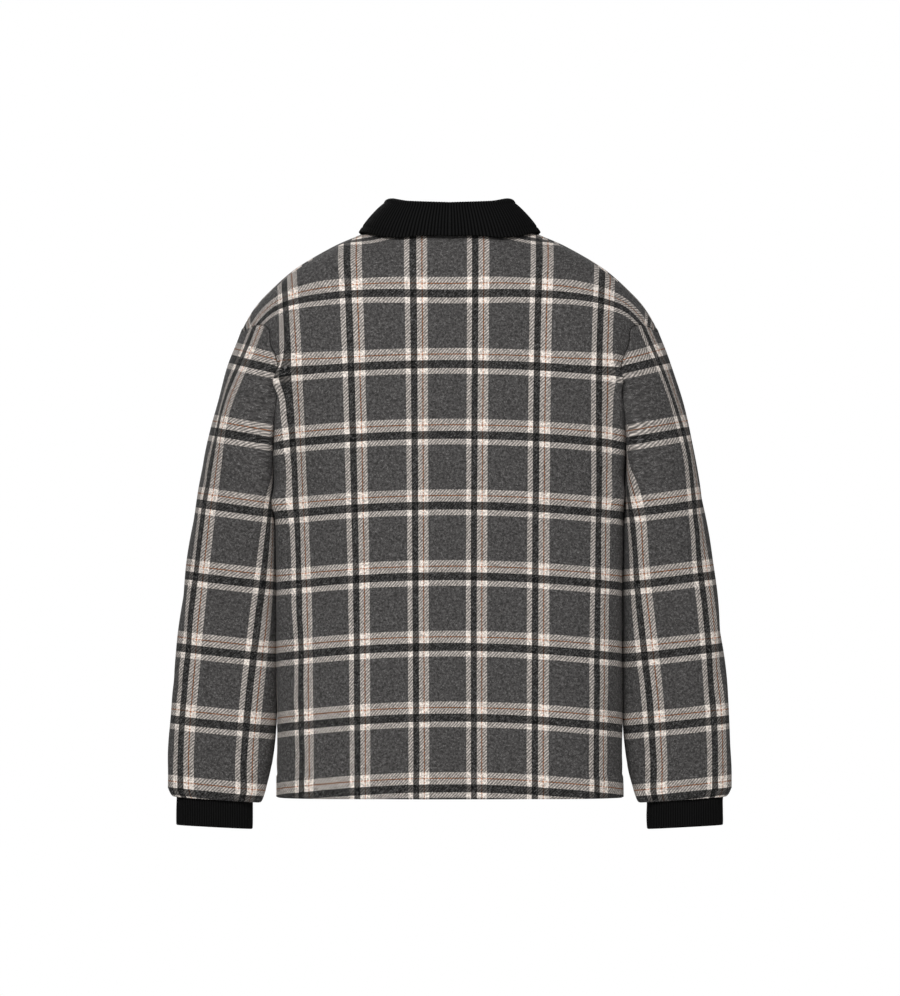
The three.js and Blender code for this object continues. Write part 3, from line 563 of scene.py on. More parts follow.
def body_check(face, side, share, down, points):
    """Places on the check of a body panel, whose rows follow the cloth down and sag a little at the sides."""
    arch = ARCHES[face]
    size, z = np.abs(points[..., 0]), points[..., 2]
    level = ridge_at(CAP_WIDTH - CAP_EASE * np.log1p(np.exp((CAP_WIDTH - size) / CAP_EASE)))
    low = np.clip((-60 - z) / 580, 0, 1)
    sag = lerp(ROW_SAG["high"], ROW_SAG["low"], low) * (size / 195) ** 2
    up = level - down + arch_radius(arch) * math.pi / 2 - arch["height"] + sag
    if face == "back":
        up = up + NAPE_LIFT * np.exp(-(size / 100) ** 2) * smooth_step((z + 130) / 80)
        above = lerp(0.95, 0.62, smooth_step((size - 90) / 75))
        next_row = ORANGE_ROW + CHECK_DOWN
        up = np.where(up > next_row, next_row + (up - next_row) * above, up)
        return check_place(back_column(side, share, z), up)
    arc = side * share * ROUND_LENGTH * half_width_at(z) / ROUND_WIDTH
    return check_place((arc - FRONT_COLUMN) / CHECK_ACROSS, up)


# Meshes

def grid_normals(grid, closed):
    if closed:
        around = np.roll(grid, -1, axis=1) - np.roll(grid, 1, axis=1)
    else:
        around = np.gradient(grid, axis=1)
    return unit(np.cross(around, np.gradient(grid, axis=0)))


def mesh_object(name, points, faces, uvs, material):
    """A new mesh object from points in millimetres, faces and a place on the cloth for each corner."""
    mesh = bpy.data.meshes.new(name)
    mesh.vertices.add(len(points))
    mesh.vertices.foreach_set("co", (np.asarray(points) / 1000).astype(np.float32).ravel())
    mesh.loops.add(faces.size)
    mesh.loops.foreach_set("vertex_index", faces.astype(np.int32).ravel())
    mesh.polygons.add(len(faces))
    mesh.polygons.foreach_set("loop_start", np.arange(len(faces), dtype=np.int32) * faces.shape[1])
    mesh.polygons.foreach_set("use_smooth", np.ones(len(faces), bool))
    mesh.update(calc_edges=True)
    if uvs is not None:
        layer = mesh.uv_layers.new(name="cloth")
        layer.data.foreach_set("uv", uvs.astype(np.float32).ravel())
    mesh.materials.append(material)
    mesh.validate()
    piece = bpy.data.objects.new(name, mesh)
    bpy.context.scene.collection.objects.link(piece)
    return piece


def cloth_shell(name, grid, places, wall, material, closed=False, outwards=1, proud=0.0, inner_extra=0.0):
    """A thin closed wall on a grid of points, with softly rounded edges and the cloth's places on it."""
    rows, columns = grid.shape[:2]
    normals = grid_normals(grid, closed) * outwards
    half = np.full((rows, columns), wall / 2)
    drawn = grid.copy()
    reach = wall / 2

    def pull(at, towards):
        step = grid[towards] - grid[at]
        size = np.linalg.norm(step, axis=-1, keepdims=True)
        drawn[at] = drawn[at] + step / np.maximum(size, 1e-9) * np.minimum(reach, 0.45 * size)

    pull(np.s_[0, :], np.s_[1, :])
    pull(np.s_[-1, :], np.s_[-2, :])
    if not closed:
        pull(np.s_[:, 0], np.s_[:, 1])
        pull(np.s_[:, -1], np.s_[:, -2])
    outer = drawn + normals * (half + proud)[..., None]
    inner = drawn - normals * (half + inner_extra)[..., None]
    count = rows * columns
    index = np.arange(count).reshape(rows, columns)
    if closed:
        index = np.concatenate([index, index[:, :1]], axis=1)
    spots = np.arange(places.shape[0] * places.shape[1]).reshape(places.shape[:2])
    flat_places = places.reshape(-1, 2)

    def quads(a, b, c, d):
        return np.stack([a.ravel(), b.ravel(), c.ravel(), d.ravel()], -1)

    def sheet_quads(net):
        return quads(net[:-1, :-1], net[:-1, 1:], net[1:, 1:], net[1:, :-1])

    outer_faces, inner_faces = sheet_quads(index), sheet_quads(index)[:, ::-1] + count
    faces, corners = [outer_faces, inner_faces], [sheet_quads(spots), sheet_quads(spots)[:, ::-1]]
    edge_points = []
    if closed:
        loops = [(index[0, ::-1], spots[0, ::-1]), (index[-1], spots[-1])]
    else:
        def ring(net):
            return np.concatenate([net[0, ::-1], net[1:, 0], net[-1, 1:], net[-2:0:-1, -1], net[0, -1:]])

        loops = [(ring(index), ring(spots))]
    base = 2 * count
    for loop, spot in loops:
        edge = np.arange(len(loop) - 1) + base
        edge = np.append(edge, edge[0])
        edge_points.append(grid.reshape(-1, 3)[loop[:-1]])
        base += len(loop) - 1
        for top, bottom in ((loop, edge), (edge, loop + count)):
            faces.append(quads(top[:-1], top[1:], bottom[1:], bottom[:-1]))
            corners.append(quads(spot[:-1], spot[1:], spot[1:], spot[:-1]))
    points = np.concatenate([outer.reshape(-1, 3), inner.reshape(-1, 3), *edge_points])
    faces, corners = np.concatenate(faces), np.concatenate(corners)
    a, b, c, d = (points[faces[:, k]] for k in range(4))
    volume = (a * np.cross(b, c)).sum() + (a * np.cross(c, d)).sum()
    if volume < 0:
        faces, corners = faces[:, ::-1], corners[:, ::-1]
    return mesh_object(name, points, faces, flat_places[corners.ravel()], material)


def groove(distance, reach, depth):
    return -depth * np.exp(-(distance / reach) ** 2)


def panel_grid(face, side):
    """Half of a body panel: points, places on the check, share of the way round and way up."""
    counts = ((56, 64, 108, 90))
    share, down, u, v = panel_places(face, *counts)
    points = body_point(face, side, share, down)
    return points, body_check(face, side, share, down, points), u, v


def wear(points, check, seed, on_back):
    across, up = check[..., 0] * CHECK_ACROSS, check[..., 1] * CHECK_DOWN
    low = smooth_step((-points[..., 2] - 150) / 350)
    waves = soft_waves(across, up * 0.45, 62, 1.0, seed) * lerp(0.5, 1, low)
    folds = fold_depth(WORN_FOLDS, WORN_FOLDS["back"] == on_back, points[..., 0], points[..., 2])
    return waves + soft_waves(across, up, 24, 0.22, seed + 1) - folds


def along_normals(grid, outwards, depth, closed=False):
    return grid + grid_normals(grid, closed) * outwards * depth[..., None]


def off_seams(u, v):
    """0 at a panel's side and top seams, 1 a short way in."""
    return smooth_step(12 * (1 - u)) * smooth_step(6 * (1 - v))


def panel_shell(name, points, check, hem, outwards, more_relief, fold_size):
    """A panel's wall, with the groove that the hem's stitches pull in and the fold inside the hem."""
    height = points[..., 2] - HEM_HEIGHT
    relief = groove(height - hem, STITCH_GROOVE, 0.7)
    relief = relief + 0.35 * np.exp(-((height - hem * 0.45) / (hem * 0.4)) ** 2) + more_relief
    fold = fold_size * smooth_step((hem + 1.5 - height) / 3)
    return cloth_shell(name, points, check, FLANNEL_WALL, flannel_material(), outwards=outwards, proud=relief,
                       inner_extra=fold)


def make_back(sizes):
    halves = zip(panel_grid("back", 1), panel_grid("back", -1))
    points, check, u, v = (np.concatenate([right[:, :0:-1], left], axis=1) for left, right in halves)
    points = along_normals(points, 1, wear(points, check, 11, 1) * off_seams(u, v))
    piece = panel_shell("back_panel", points, check, sizes.hem_turn_up * 1000, 1, 0.0, 1.2)
    dress(piece, "back")
    return piece


def make_front(sizes, side, name, node):
    points, check, u, v = panel_grid("front", side)
    free = off_seams(u, v) * smooth_step(8 * u)
    points = along_normals(points, -side, wear(points, check, 17 + side, 0) * free)
    from_edge = np.abs(side * points[..., 0] + BUTTON_LAP)
    stitched = groove(from_edge - FRONT_STITCH_INSET, STITCH_GROOVE, 0.5)
    piece = panel_shell(name, points, check, sizes.hem_turn_up * 1000, -side, stitched, 0.72)
    dress(piece, node)
    return piece


# Sleeves and cuffs

def oval_part(value, power):
    return np.sign(value) * np.abs(value) ** (2 / power)


def oval_ring(side, angles, outer_x, outer_z, inner_x, inner_z, half_depth, middle_y, power):
    across = oval_part(np.cos(angles), power)
    return np.stack([
        side * ((outer_x + inner_x) / 2 + across * (outer_x - inner_x) / 2),
        middle_y + oval_part(np.sin(angles), power) * half_depth,
        (outer_z + inner_z) / 2 + across * (outer_z - inner_z) / 2,
    ], -1)


def sleeve_point(side, angle, along):
    at = {key: curve(along) for key, curve in sleeve_at.items()}
    return oval_ring(side, angle, *at.values(), SLEEVE_POWER)


def into_body_cloth(seam, seam_after, normal, middle):
    direction = unit(np.cross(normal, seam_after - seam))
    away = np.sign(((seam - middle) * direction).sum(-1, keepdims=True))
    return direction * np.where(away < 0, -1, 1)


def sewn_on_offset(into_body, normal, into_piece):
    turn = np.arccos(np.clip(-(into_body * into_piece).sum(-1, keepdims=True), -1, 1))
    return into_piece * SEAM_GAP + normal * (FLANNEL_WALL + SEAM_GAP) * np.sin(turn / 2)


def armhole_edge(side, angle):
    """The armhole's seam and the body's normal there, down the back and up the front."""
    behind = angle <= math.pi
    along = np.where(behind, angle / math.pi, 2 - angle / math.pi)
    faces = [(face, side, *ARMHOLES[face](along)) for face in FACES]
    return [np.where(behind[..., None], *(at(*face) for face in faces)) for at in (body_point, body_normal)]


def armhole_shift(side, angle):
    edge, normal = armhole_edge(side, angle)
    edge_after = armhole_edge(side, np.mod(angle + SEAM_STEP, 2 * math.pi))[0]
    start, following = sleeve_point(side, angle, 0.0), sleeve_point(side, angle, 2 * SEAM_STEP)
    middle = np.array(ARMHOLE_MIDDLE) * (side, 1, 1)
    into_body = into_body_cloth(edge, edge_after, normal, middle)
    return edge + sewn_on_offset(into_body, normal, unit(following - start)) - start


def through_rings(rings, steps):
    """Rings between the given ones, on a smooth curve through them."""
    first, last = 2 * rings[0] - rings[1], 2 * rings[-1] - rings[-2]
    full = np.concatenate([first[None], rings, last[None]])
    made = []
    for k in range(len(rings) - 1):
        a, b, c, d = full[k:k + 4]
        for s in np.arange(steps) / steps:
            made.append(0.5 * (2 * b + (c - a) * s + (2 * a - 5 * b + 4 * c - d) * s ** 2
                               + (3 * b - a - 3 * c + d) * s ** 3))
    made.append(rings[-1])
    return np.array(made)


def sleeve_end_rings(side, angles):
    """The rings that turn the sleeve's end in, up to where the cuff is sewn."""
    end = {key: SLEEVE_SECTIONS[key][-1] for key in SLEEVE_SECTIONS}
    rings = []
    for inset, outer_drop, inner_drop in zip(*SLEEVE_TURN.values()):
        rings.append(oval_ring(side, angles, end["outer_x"] - inset, end["outer_z"] - outer_drop,
                               end["inner_x"] + inset, end["inner_z"] - inner_drop,
                               end["half_depth"] - inset / 2, end["middle_y"], SLEEVE_POWER))
    clear = (FLANNEL_WALL + CUFF_WALL) / 2 + SEAM_GAP
    for rise in TURNED_IN_RISE:
        rings.append(oval_ring(side, angles, CUFF["middle_x"] + CUFF["half_width"] + clear,
                               end["outer_z"] - outer_drop + rise,
                               CUFF["middle_x"] - CUFF["half_width"] - clear,
                               end["inner_z"] - inner_drop + rise,
                               CUFF["half_depth"] + clear, CUFF["middle_y"], CUFF["power"]))
    return rings


def closed_ring(rows):
    """Rings of values with the first one of each again at its end."""
    return np.concatenate([rows, rows[:, :1]], axis=1)


def from_underarm(ring, half, whole):
    """A ring's values begun at the underarm, where the sleeve's seam lies, and not at its outer edge."""
    return np.concatenate([ring[:, half:-1] - whole, ring[:, :half + 1]], axis=1)


def line_arcs(side, grid, arc, half):
    """Where the sleeve's orange line lies on each ring, as a length from the outer edge."""
    size, z = np.abs(grid[..., 0]), grid[..., 2]
    line_x = sleeve_line_at[WEARER_SIDE[side]](z)
    past = np.maximum.accumulate((line_x - size)[:, :half], axis=1)
    found = np.array([np.interp(0, past[row], arc[row, :half]) for row in range(len(grid))])
    held = int(np.argmax(z[:, 0] < SLEEVE_LINE_TOP[WEARER_SIDE[side]]))
    found[:held] = found[held]
    return found


def eased_rows(values, reach):
    """Each value as the mean of those up to reach rows away."""
    padded = np.pad(values, reach, mode="edge")
    return np.convolve(padded, np.ones(2 * reach + 1) / (2 * reach + 1), "valid")


def sleeve_grid(side):
    """A sleeve's points, its places on the check and the length round from its outer edge."""
    around, lengthwise = ((176, 164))
    half = around // 2
    angles = np.arange(around) / around * 2 * math.pi
    shifts = armhole_shift(side, angles)
    along = np.linspace(0, 1, lengthwise + 1)
    rows = [sleeve_point(side, angles, a) + shifts * max(1 - a / ARMHOLE_BLEND, 0) ** 2 for a in along]
    turned = through_rings(np.array([rows[-1], *sleeve_end_rings(side, angles)]), 4)[1:]
    grid = np.concatenate([np.array(rows), turned])
    size, z = np.abs(grid[..., 0]), grid[..., 2]
    outer, inner = outer_edge_at(z), SLEEVE_INNER
    across = (size - (outer + inner) / 2) / ((outer - inner) / 2)
    up = z * SLEEVE_ROW_STRETCH + SLEEVE_ROW_START - SLEEVE_ROW_TILT * across
    steps = np.linalg.norm(np.diff(grid[lengthwise:], axis=0), axis=-1)
    up[lengthwise + 1:] = up[lengthwise] - np.cumsum(steps, axis=0)
    level_steps = np.diff(closed_ring(grid), axis=1)[..., :2]
    arc = np.cumsum(np.hypot(level_steps[..., 0], level_steps[..., 1]), axis=1)
    arc = np.concatenate([np.zeros((len(grid), 1)), arc], axis=1)
    line_arc = line_arcs(side, grid, arc, half)
    line_arc[lengthwise:] = line_arc[lengthwise]
    line_arc = eased_rows(line_arc, SLEEVE_LINE_EASE)
    grid, up = np.roll(grid, -half, axis=1), from_underarm(closed_ring(up), half, 0)
    arc = from_underarm(arc, half, arc[:, -1:])
    cloth_arc = arc.copy()
    cloth_arc[lengthwise:] = cloth_arc[lengthwise]
    column = side * (cloth_arc - line_arc[:, None]) / SLEEVE_COLUMN_SPACE[WEARER_SIDE[side]]
    return grid, check_place(column, up), arc[:, :-1]


def make_sleeve(side, name, node):
    grid, check, signed = sleeve_grid(side)
    z = grid[..., 2].copy()
    folds = {**SLEEVE_FOLDS, "x0": SLEEVE_FOLDS["arc0"], "x1": SLEEVE_FOLDS["arc1"]}
    depth = fold_depth(folds, SLEEVE_FOLDS["side"] == side, signed, z)
    angle = (np.arange(grid.shape[1]) / grid.shape[1] * 2 + 1) * math.pi
    waves = soft_waves(np.cos(angle) * 50 + 0 * z, np.sin(angle) * 50 + z * 0.5, 52, 0.9, 31 + side)
    near_body = smooth_step((236 - np.abs(grid[..., 0])) / 18)
    clear_of_body = 1 - near_body * (z > -660)
    touching = smooth_step((-250 - z) / 60) * smooth_step((z + 640) / 60)
    grid[..., 0] -= side * SLEEVE_LEAN * touching * near_body
    row = np.arange(len(grid))[:, None]
    free = smooth_step(row / 14) * smooth_step((len(grid) - row - 12) / 20)
    grid = along_normals(grid, -side, (waves - depth) * free * clear_of_body, closed=True)
    piece = cloth_shell(name, grid, check, FLANNEL_WALL, flannel_material(), closed=True, outwards=-side)
    dress(piece, node)
    return piece


def make_cuff(side, name, node, sizes):
    ribs = round(CUFF_ROUND / (sizes.cuff_rib_pitch * 1000))
    steps, rows = ((4, 26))
    around = ribs * steps
    angles = np.arange(around) / around * 2 * math.pi
    share = np.linspace(0, 1, rows + 1)
    outer_x, inner_x = CUFF["middle_x"] + CUFF["half_width"], CUFF["middle_x"] - CUFF["half_width"]
    rings = np.array([
        oval_ring(side, angles, outer_x, lerp(CUFF["top_outer"], CUFF["bottom_outer"], s),
                  inner_x, lerp(CUFF["top_inner"], CUFF["bottom_inner"], s),
                  CUFF["half_depth"], CUFF["middle_y"], CUFF["power"])
        for s in share
    ])
    arc = length_along(np.concatenate([rings[0], rings[0][:1]]))
    rib = arc / arc[-1] * ribs
    height = np.linalg.norm(rings[-1] - rings[0], axis=-1).mean()
    places = np.stack(np.broadcast_arrays(rib[None, :], (share * height / 2.2)[:, None]), -1)
    raised = 0.3 * np.abs(np.sin(rib[:-1] * math.pi)) * smooth_step(8 * (1 - share))[:, None]
    seed = 41 if side > 0 else 43
    soft = soft_waves(arc[:-1][None, :], share[:, None] * height, 46, 0.5, seed)
    rings = along_normals(rings, -side, soft * smooth_step(3 * share)[:, None], closed=True)
    piece = cloth_shell(name, rings, places, CUFF_WALL, rib_material(), closed=True, outwards=-side,
                        proud=raised - 0.15)
    dress(piece, node)
    return piece


# Collar

def collar_half(side, rounds, stand_steps, roll_steps, leaf_steps):
    """Half of the collar from the centre back, with columns up the stand, over the roll and down the leaf."""
    places, afters = [], []
    for face in FACES:
        share = 1 - 2 * rounds if face == "back" else 2 * rounds - 1
        spots = [np.clip(at, 0, NECK_ENDS["front"]) for at in (share, share - FACE_SIGN[face] * SEAM_STEP)]
        places.append((face, side, *NECKS[face](spots[0])))
        afters.append((face, side, *NECKS[face](spots[1])))
    seams, seams_after = [[body_point(*at) for at in spots] for spots in (places, afters)]
    behind = (rounds < 0.5)[:, None]
    seam, normal = np.where(behind, *seams), np.where(behind, *(body_normal(*at) for at in places))
    along_seam = np.where(behind, seams_after[0] - seams[0], seams_after[1] - seams[1])
    into_body = into_body_cloth(seam, seam + along_seam, normal, np.array(NECK_MIDDLE, float))
    at = {key: curve(rounds) for key, curve in collar_at.items()}
    roll = np.stack([side * at["roll_x"], at["roll_y"], at["roll_z"]], -1)
    foot = seam + sewn_on_offset(into_body, normal, unit(roll - seam))
    edge_share, edge_down = share_at_width(at["edge_x"], ridge_at(at["edge_x"])), np.abs(at["edge_down"])
    edges = [body_point(face, side, edge_share, edge_down)
             + body_normal(face, side, edge_share, edge_down) * at["lift"][:, None] for face in FACES]
    edge = np.where((at["edge_down"] > 0)[:, None], *edges)
    outward = edge - foot
    outward[:, 2] = 0
    outward = unit(outward)

    def at_roll(angle):
        up = np.array([0, 0, ROLL_RADIUS * math.sin(angle)])
        return roll - outward * ROLL_RADIUS * math.cos(angle) + up

    rows = [lerp(foot, at_roll(0), i / stand_steps) for i in range(stand_steps)]
    rows += [at_roll(i / roll_steps * math.pi) for i in range(roll_steps)]
    for i in range(leaf_steps + 1):
        share = i / leaf_steps
        rows.append(lerp(at_roll(math.pi), edge, share) + outward * LEAF_BULGE * 4 * share * (1 - share))
    return np.array(rows)


def make_collar(sizes):
    steps = ((9, 8, 25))
    fine = np.linspace(0, 1, 161)
    line = collar_half(1, fine, 1, 2, 1)[2]
    length = length_along(line)
    ribs = round(length[-1] / (sizes.collar_rib_pitch * 1000))
    columns = ribs * 5
    rib = np.arange(columns + 1) / columns * ribs
    rounds = np.interp(rib / ribs, length / length[-1], fine)
    left, right = collar_half(1, rounds, *steps), collar_half(-1, rounds, *steps)
    left[:, -1, 0] += COLLAR_END_GAP / 2
    right[:, -1, 0] -= COLLAR_END_GAP / 2
    grid = np.concatenate([right[:, :0:-1], left], axis=1)
    rib = np.concatenate([-rib[:0:-1], rib])
    down = length_along(grid)
    from_edge = down[-1] - down
    places = np.stack(np.broadcast_arrays(rib[None, :] + 0.5, down / 2.4), -1)
    ends = smooth_step((ribs - np.abs(rib)) / 2)
    raised = 0.42 * np.abs(np.cos(rib * math.pi)) ** 0.8 * ends
    raised = raised - 0.8 * np.exp(-((from_edge - COLLAR_BAND) / 1.1) ** 2)
    waves = soft_waves(rib[None, :] * 3.3, down, 90, 0.6, 51) * smooth_step((down - 40) / 20)
    grid = along_normals(grid, COLLAR_OUT, waves)
    piece = cloth_shell("collar_knit", grid, places, COLLAR_WALL, rib_material(), outwards=COLLAR_OUT,
                        proud=raised - 0.2)
    dress(piece, "collar")
    return piece


def dress(piece, node):
    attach(piece, "root")
    if node:
        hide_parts(node)


# Materials

def node_group(name, inputs, outputs):
    tree = bpy.data.node_groups.new(name, "ShaderNodeTree")
    for label, kind, value in inputs:
        socket = tree.interface.new_socket(name=label, in_out="INPUT", socket_type=kind)
        if value is not None:
            socket.default_value = value
    for label, kind in outputs:
        tree.interface.new_socket(name=label, in_out="OUTPUT", socket_type=kind)
    return tree, tree.nodes.new("NodeGroupInput"), tree.nodes.new("NodeGroupOutput")


def feed(tree, socket, value):
    if isinstance(value, bpy.types.NodeSocket):
        tree.links.new(value, socket)
    elif value is not None:
        socket.default_value = value


def sums(tree, operation, *values, clamp=False):
    node = tree.nodes.new("ShaderNodeMath")
    node.operation = operation
    node.use_clamp = clamp
    for socket, value in zip(node.inputs, values):
        feed(tree, socket, value)
    return node.outputs[0]


def blend(tree, share, a, b, kind="MIX"):
    node = tree.nodes.new("ShaderNodeMix")
    node.data_type = "RGBA"
    node.blend_type = kind
    for index, value in ((0, share), (6, a), (7, b)):
        feed(tree, node.inputs[index], value)
    return node.outputs[2]


def eased(tree, value, low, high, to_low=0.0, to_high=1.0):
    node = tree.nodes.new("ShaderNodeMapRange")
    node.interpolation_type = "SMOOTHSTEP"
    for socket, given in zip(node.inputs, (value, low, high, to_low, to_high)):
        feed(tree, socket, given)
    return node.outputs[0]


def noise(tree, vector, scale, detail=2.0, distortion=0.0):
    node = tree.nodes.new("ShaderNodeTexNoise")
    feed(tree, node.inputs["Vector"], vector)
    node.inputs["Scale"].default_value = scale
    node.inputs["Detail"].default_value = detail
    node.inputs["Distortion"].default_value = distortion
    return node.outputs[0]


def grey(value):
    return (value, value, value, 1)


def maths(tree):
    """Short forms of the sums that a node group is written in."""
    def form(operation):
        return lambda *values: sums(tree, operation, *values)

    return [form(operation) for operation in ("ADD", "SUBTRACT", "MULTIPLY", "ABSOLUTE", "FRACT", "MAXIMUM")]


def check_group():
    """Brushed twill woven in a check: yarn colours along and across, and which of them lies on top."""
    tree, given, made = node_group(
        "brushed_check_twill",
        [("Vector", "NodeSocketVector", None), ("Ground", "NodeSocketColor", grey(0.08)),
         ("Dark", "NodeSocketColor", grey(0.013)), ("Cream", "NodeSocketColor", grey(0.8)),
         ("Orange", "NodeSocketColor", grey(0.3)), ("Fibre", "NodeSocketColor", grey(0.3))],
        [("Color", "NodeSocketColor"), ("Height", "NodeSocketFloat")],
    )
    add, minus, times, size_of, fract, either = maths(tree)
    split = tree.nodes.new("ShaderNodeSeparateXYZ")
    tree.links.new(given.outputs["Vector"], split.inputs[0])
    scaled = tree.nodes.new("ShaderNodeVectorMath")
    scaled.operation = "MULTIPLY"
    tree.links.new(given.outputs["Vector"], scaled.inputs[0])
    scaled.inputs[1].default_value = (CHECK_ACROSS, CHECK_DOWN, 1)
    cloth = scaled.outputs[0]
    across, up = split.outputs[0], split.outputs[1]
    shake = times(minus(noise(tree, cloth, 0.9), 0.5), 0.008)
    column, row = fract(add(across, shake)), fract(minus(shake, up))
    ground, dark = given.outputs["Ground"], given.outputs["Dark"]

    def band(place, low, high):
        size = CHECK_ACROSS if place is column else CHECK_DOWN
        return sums(tree, "COMPARE", place, (low + high) / 2 / size, (high - low) / 2 / size)

    def yarn(place, bands):
        colour = ground
        for tone, low, high in bands:
            colour = blend(tree, band(place, low, high), colour, given.outputs[tone])
        return colour

    def inside(place, bands, tone):
        """1 in any of the tone's bands and 0 elsewhere."""
        found = [band(place, low, high) for name, low, high in bands if name == tone]
        total = found[0]
        for other in found[1:]:
            total = either(total, other)
        return total

    lengthwise, crosswise = yarn(column, COLUMN_BANDS), yarn(row, ROW_BANDS)
    phase = fract(minus(times(up, TWILLS_DOWN), times(across, TWILLS_ACROSS)))
    rise = times(size_of(minus(phase, 0.5)), 2)
    on_top = eased(tree, rise, 0.34, 0.66, 0.2, 0.8)
    colour = blend(tree, on_top, lengthwise, crosswise)
    dark_column, dark_row = inside(column, COLUMN_BANDS, "Dark"), inside(row, ROW_BANDS, "Dark")
    cream_column, cream_row = inside(column, COLUMN_BANDS, "Cream"), inside(row, ROW_BANDS, "Cream")
    pale = either(cream_column, cream_row)
    one_dark = size_of(minus(dark_column, dark_row))
    colour = blend(tree, times(one_dark, sums(tree, "MULTIPLY_ADD", pale, 0.4, 0.38)), colour, dark)
    one_cream = size_of(minus(cream_column, cream_row))
    colour = blend(tree, times(one_cream, 0.2), colour, ground)

    def yarn_round(place, count):
        return size_of(sums(tree, "SINE", times(place, math.pi * count)))

    rounds = add(times(yarn_round(across, TWILLS_ACROSS * 4), minus(1.0, on_top)),
                 times(yarn_round(up, TWILLS_DOWN * 4), on_top))
    float_round = size_of(minus(times(rise, 2), 1))
    height = add(times(rounds, 0.35), times(float_round, 0.65))
    # Painted shade: the colour darkens where the yarns round down and between the floats, as if shade fell
    # there.
    shade = eased(tree, height, 0.0, 0.7, 0.86, 1.04)
    colour = blend(tree, 1.0, colour, shade, "MULTIPLY")
    worms = noise(tree, cloth, 0.36, 1.0, 1.2)
    fuzz = eased(tree, size_of(minus(worms, 0.5)), 0.0, 0.05, 1.0, 0.0)
    patchy = eased(tree, noise(tree, cloth, 0.2, 1.0), 0.35, 0.55)
    fibre_share = times(times(fuzz, patchy), sums(tree, "MULTIPLY_ADD", pale, -0.2, 0.4))
    colour = blend(tree, fibre_share, colour, given.outputs["Fibre"])
    uneven = eased(tree, noise(tree, cloth, 0.4, 1.0, 0.8), 0.3, 0.7, 0.62, 1.34)
    colour = blend(tree, 1.0, colour, uneven, "MULTIPLY")
    tree.links.new(colour, made.inputs["Color"])
    tree.links.new(add(height, times(fuzz, 0.5)), made.inputs["Height"])
    return tree


def rib_group():
    """Rib knit: rounded ribs, dark between them, with the small V of each stitch."""
    tree, given, made = node_group(
        "rib_knit",
        [("Vector", "NodeSocketVector", None), ("Rib", "NodeSocketColor", grey(0.02)),
         ("Painted shade between", "NodeSocketColor", grey(0.005))],
        [("Color", "NodeSocketColor"), ("Height", "NodeSocketFloat")],
    )
    add, minus, times, size_of, fract = maths(tree)[:5]
    split = tree.nodes.new("ShaderNodeSeparateXYZ")
    tree.links.new(given.outputs["Vector"], split.inputs[0])
    across, along = split.outputs[0], split.outputs[1]
    side = size_of(minus(fract(across), 0.5))
    ridge = eased(tree, side, 0.12, 0.5, 1.0, 0.0)
    slant = fract(add(along, times(side, 1.6)))
    stitch = size_of(minus(times(slant, 2), 1))
    height = add(times(ridge, 0.75), times(stitch, 0.25))
    speck = eased(tree, noise(tree, given.outputs["Vector"], 3.0, 3.0), 0.3, 0.7, 0.75, 1.25)
    # Painted shade: the colour darkens between the ribs, as if the recesses there were in shade.
    colour = blend(tree, ridge, given.outputs["Painted shade between"], given.outputs["Rib"])
    colour = blend(tree, 1.0, colour, speck, "MULTIPLY")
    tree.links.new(colour, made.inputs["Color"])
    tree.links.new(height, made.inputs["Height"])
    return tree


def new_material(name, roughness, sheen=0.0, specular=0.3):
    material = bpy.data.materials.new(name)
    material.use_nodes = True
    shader = material.node_tree.nodes["Principled BSDF"]
    shader.inputs["Roughness"].default_value = roughness
    shader.inputs["Specular IOR Level"].default_value = specular
    shader.inputs["Sheen Weight"].default_value = sheen
    shader.inputs["Sheen Roughness"].default_value = 0.5
    return material, material.node_tree, shader


def woven_material(name, group_maker, colours, roughness, sheen, specular, bump, distance):
    ready = bpy.data.materials.get(name)
    if ready:
        return ready
    material, tree, shader = new_material(name, roughness, sheen, specular)
    place = tree.nodes.new("ShaderNodeUVMap")
    place.uv_map = "cloth"
    group = tree.nodes.new("ShaderNodeGroup")
    group.node_tree = group_maker()
    tree.links.new(place.outputs[0], group.inputs["Vector"])
    for label, value in colours.items():
        group.inputs[label].default_value = (*value, 1)
    relief = tree.nodes.new("ShaderNodeBump")
    relief.inputs["Strength"].default_value = bump
    relief.inputs["Distance"].default_value = distance
    tree.links.new(group.outputs["Height"], relief.inputs["Height"])
    tree.links.new(group.outputs["Color"], shader.inputs["Base Color"])
    tree.links.new(relief.outputs[0], shader.inputs["Normal"])
    return material


def flannel_material():
    colours = bpy.context.scene.shirt_colours
    tones = {"Ground": colours.ground, "Dark": colours.dark, "Cream": colours.cream, "Orange": colours.orange,
             "Fibre": colours.fibre}
    return woven_material("brushed_flannel", check_group, tones, 0.95, 0.05, 0.1, 0.5, 0.0005)


def rib_material():
    colours = bpy.context.scene.shirt_colours
    # The second tone is painted shade, for the recesses between the ribs.
    tones = {"Rib": colours.rib, "Painted shade between": colours.rib_painted_shade}
    return woven_material("black_rib_knit", rib_group, tones, 0.9, 0.0, 0.05, 1.0, 0.0008)


def plain_material(name, colour, roughness, grain, specular=0.3, spread=0.25):
    ready = bpy.data.materials.get(name)
    if ready:
        return ready
    material, tree, shader = new_material(name, roughness, 0.0, specular)
    place = tree.nodes.new("ShaderNodeTexCoord").outputs["Object"]
    mottle = eased(tree, noise(tree, place, grain, 3.0), 0.3, 0.7, 1 - spread, 1 + spread)
    tree.links.new(blend(tree, 1.0, (*colour, 1), mottle, "MULTIPLY"), shader.inputs["Base Color"])
    relief = tree.nodes.new("ShaderNodeBump")
    relief.inputs["Strength"].default_value = 0.2
    relief.inputs["Distance"].default_value = 0.0002
    tree.links.new(noise(tree, place, grain * 4, 2.0), relief.inputs["Height"])
    tree.links.new(relief.outputs[0], shader.inputs["Normal"])
    return material


# Sewing

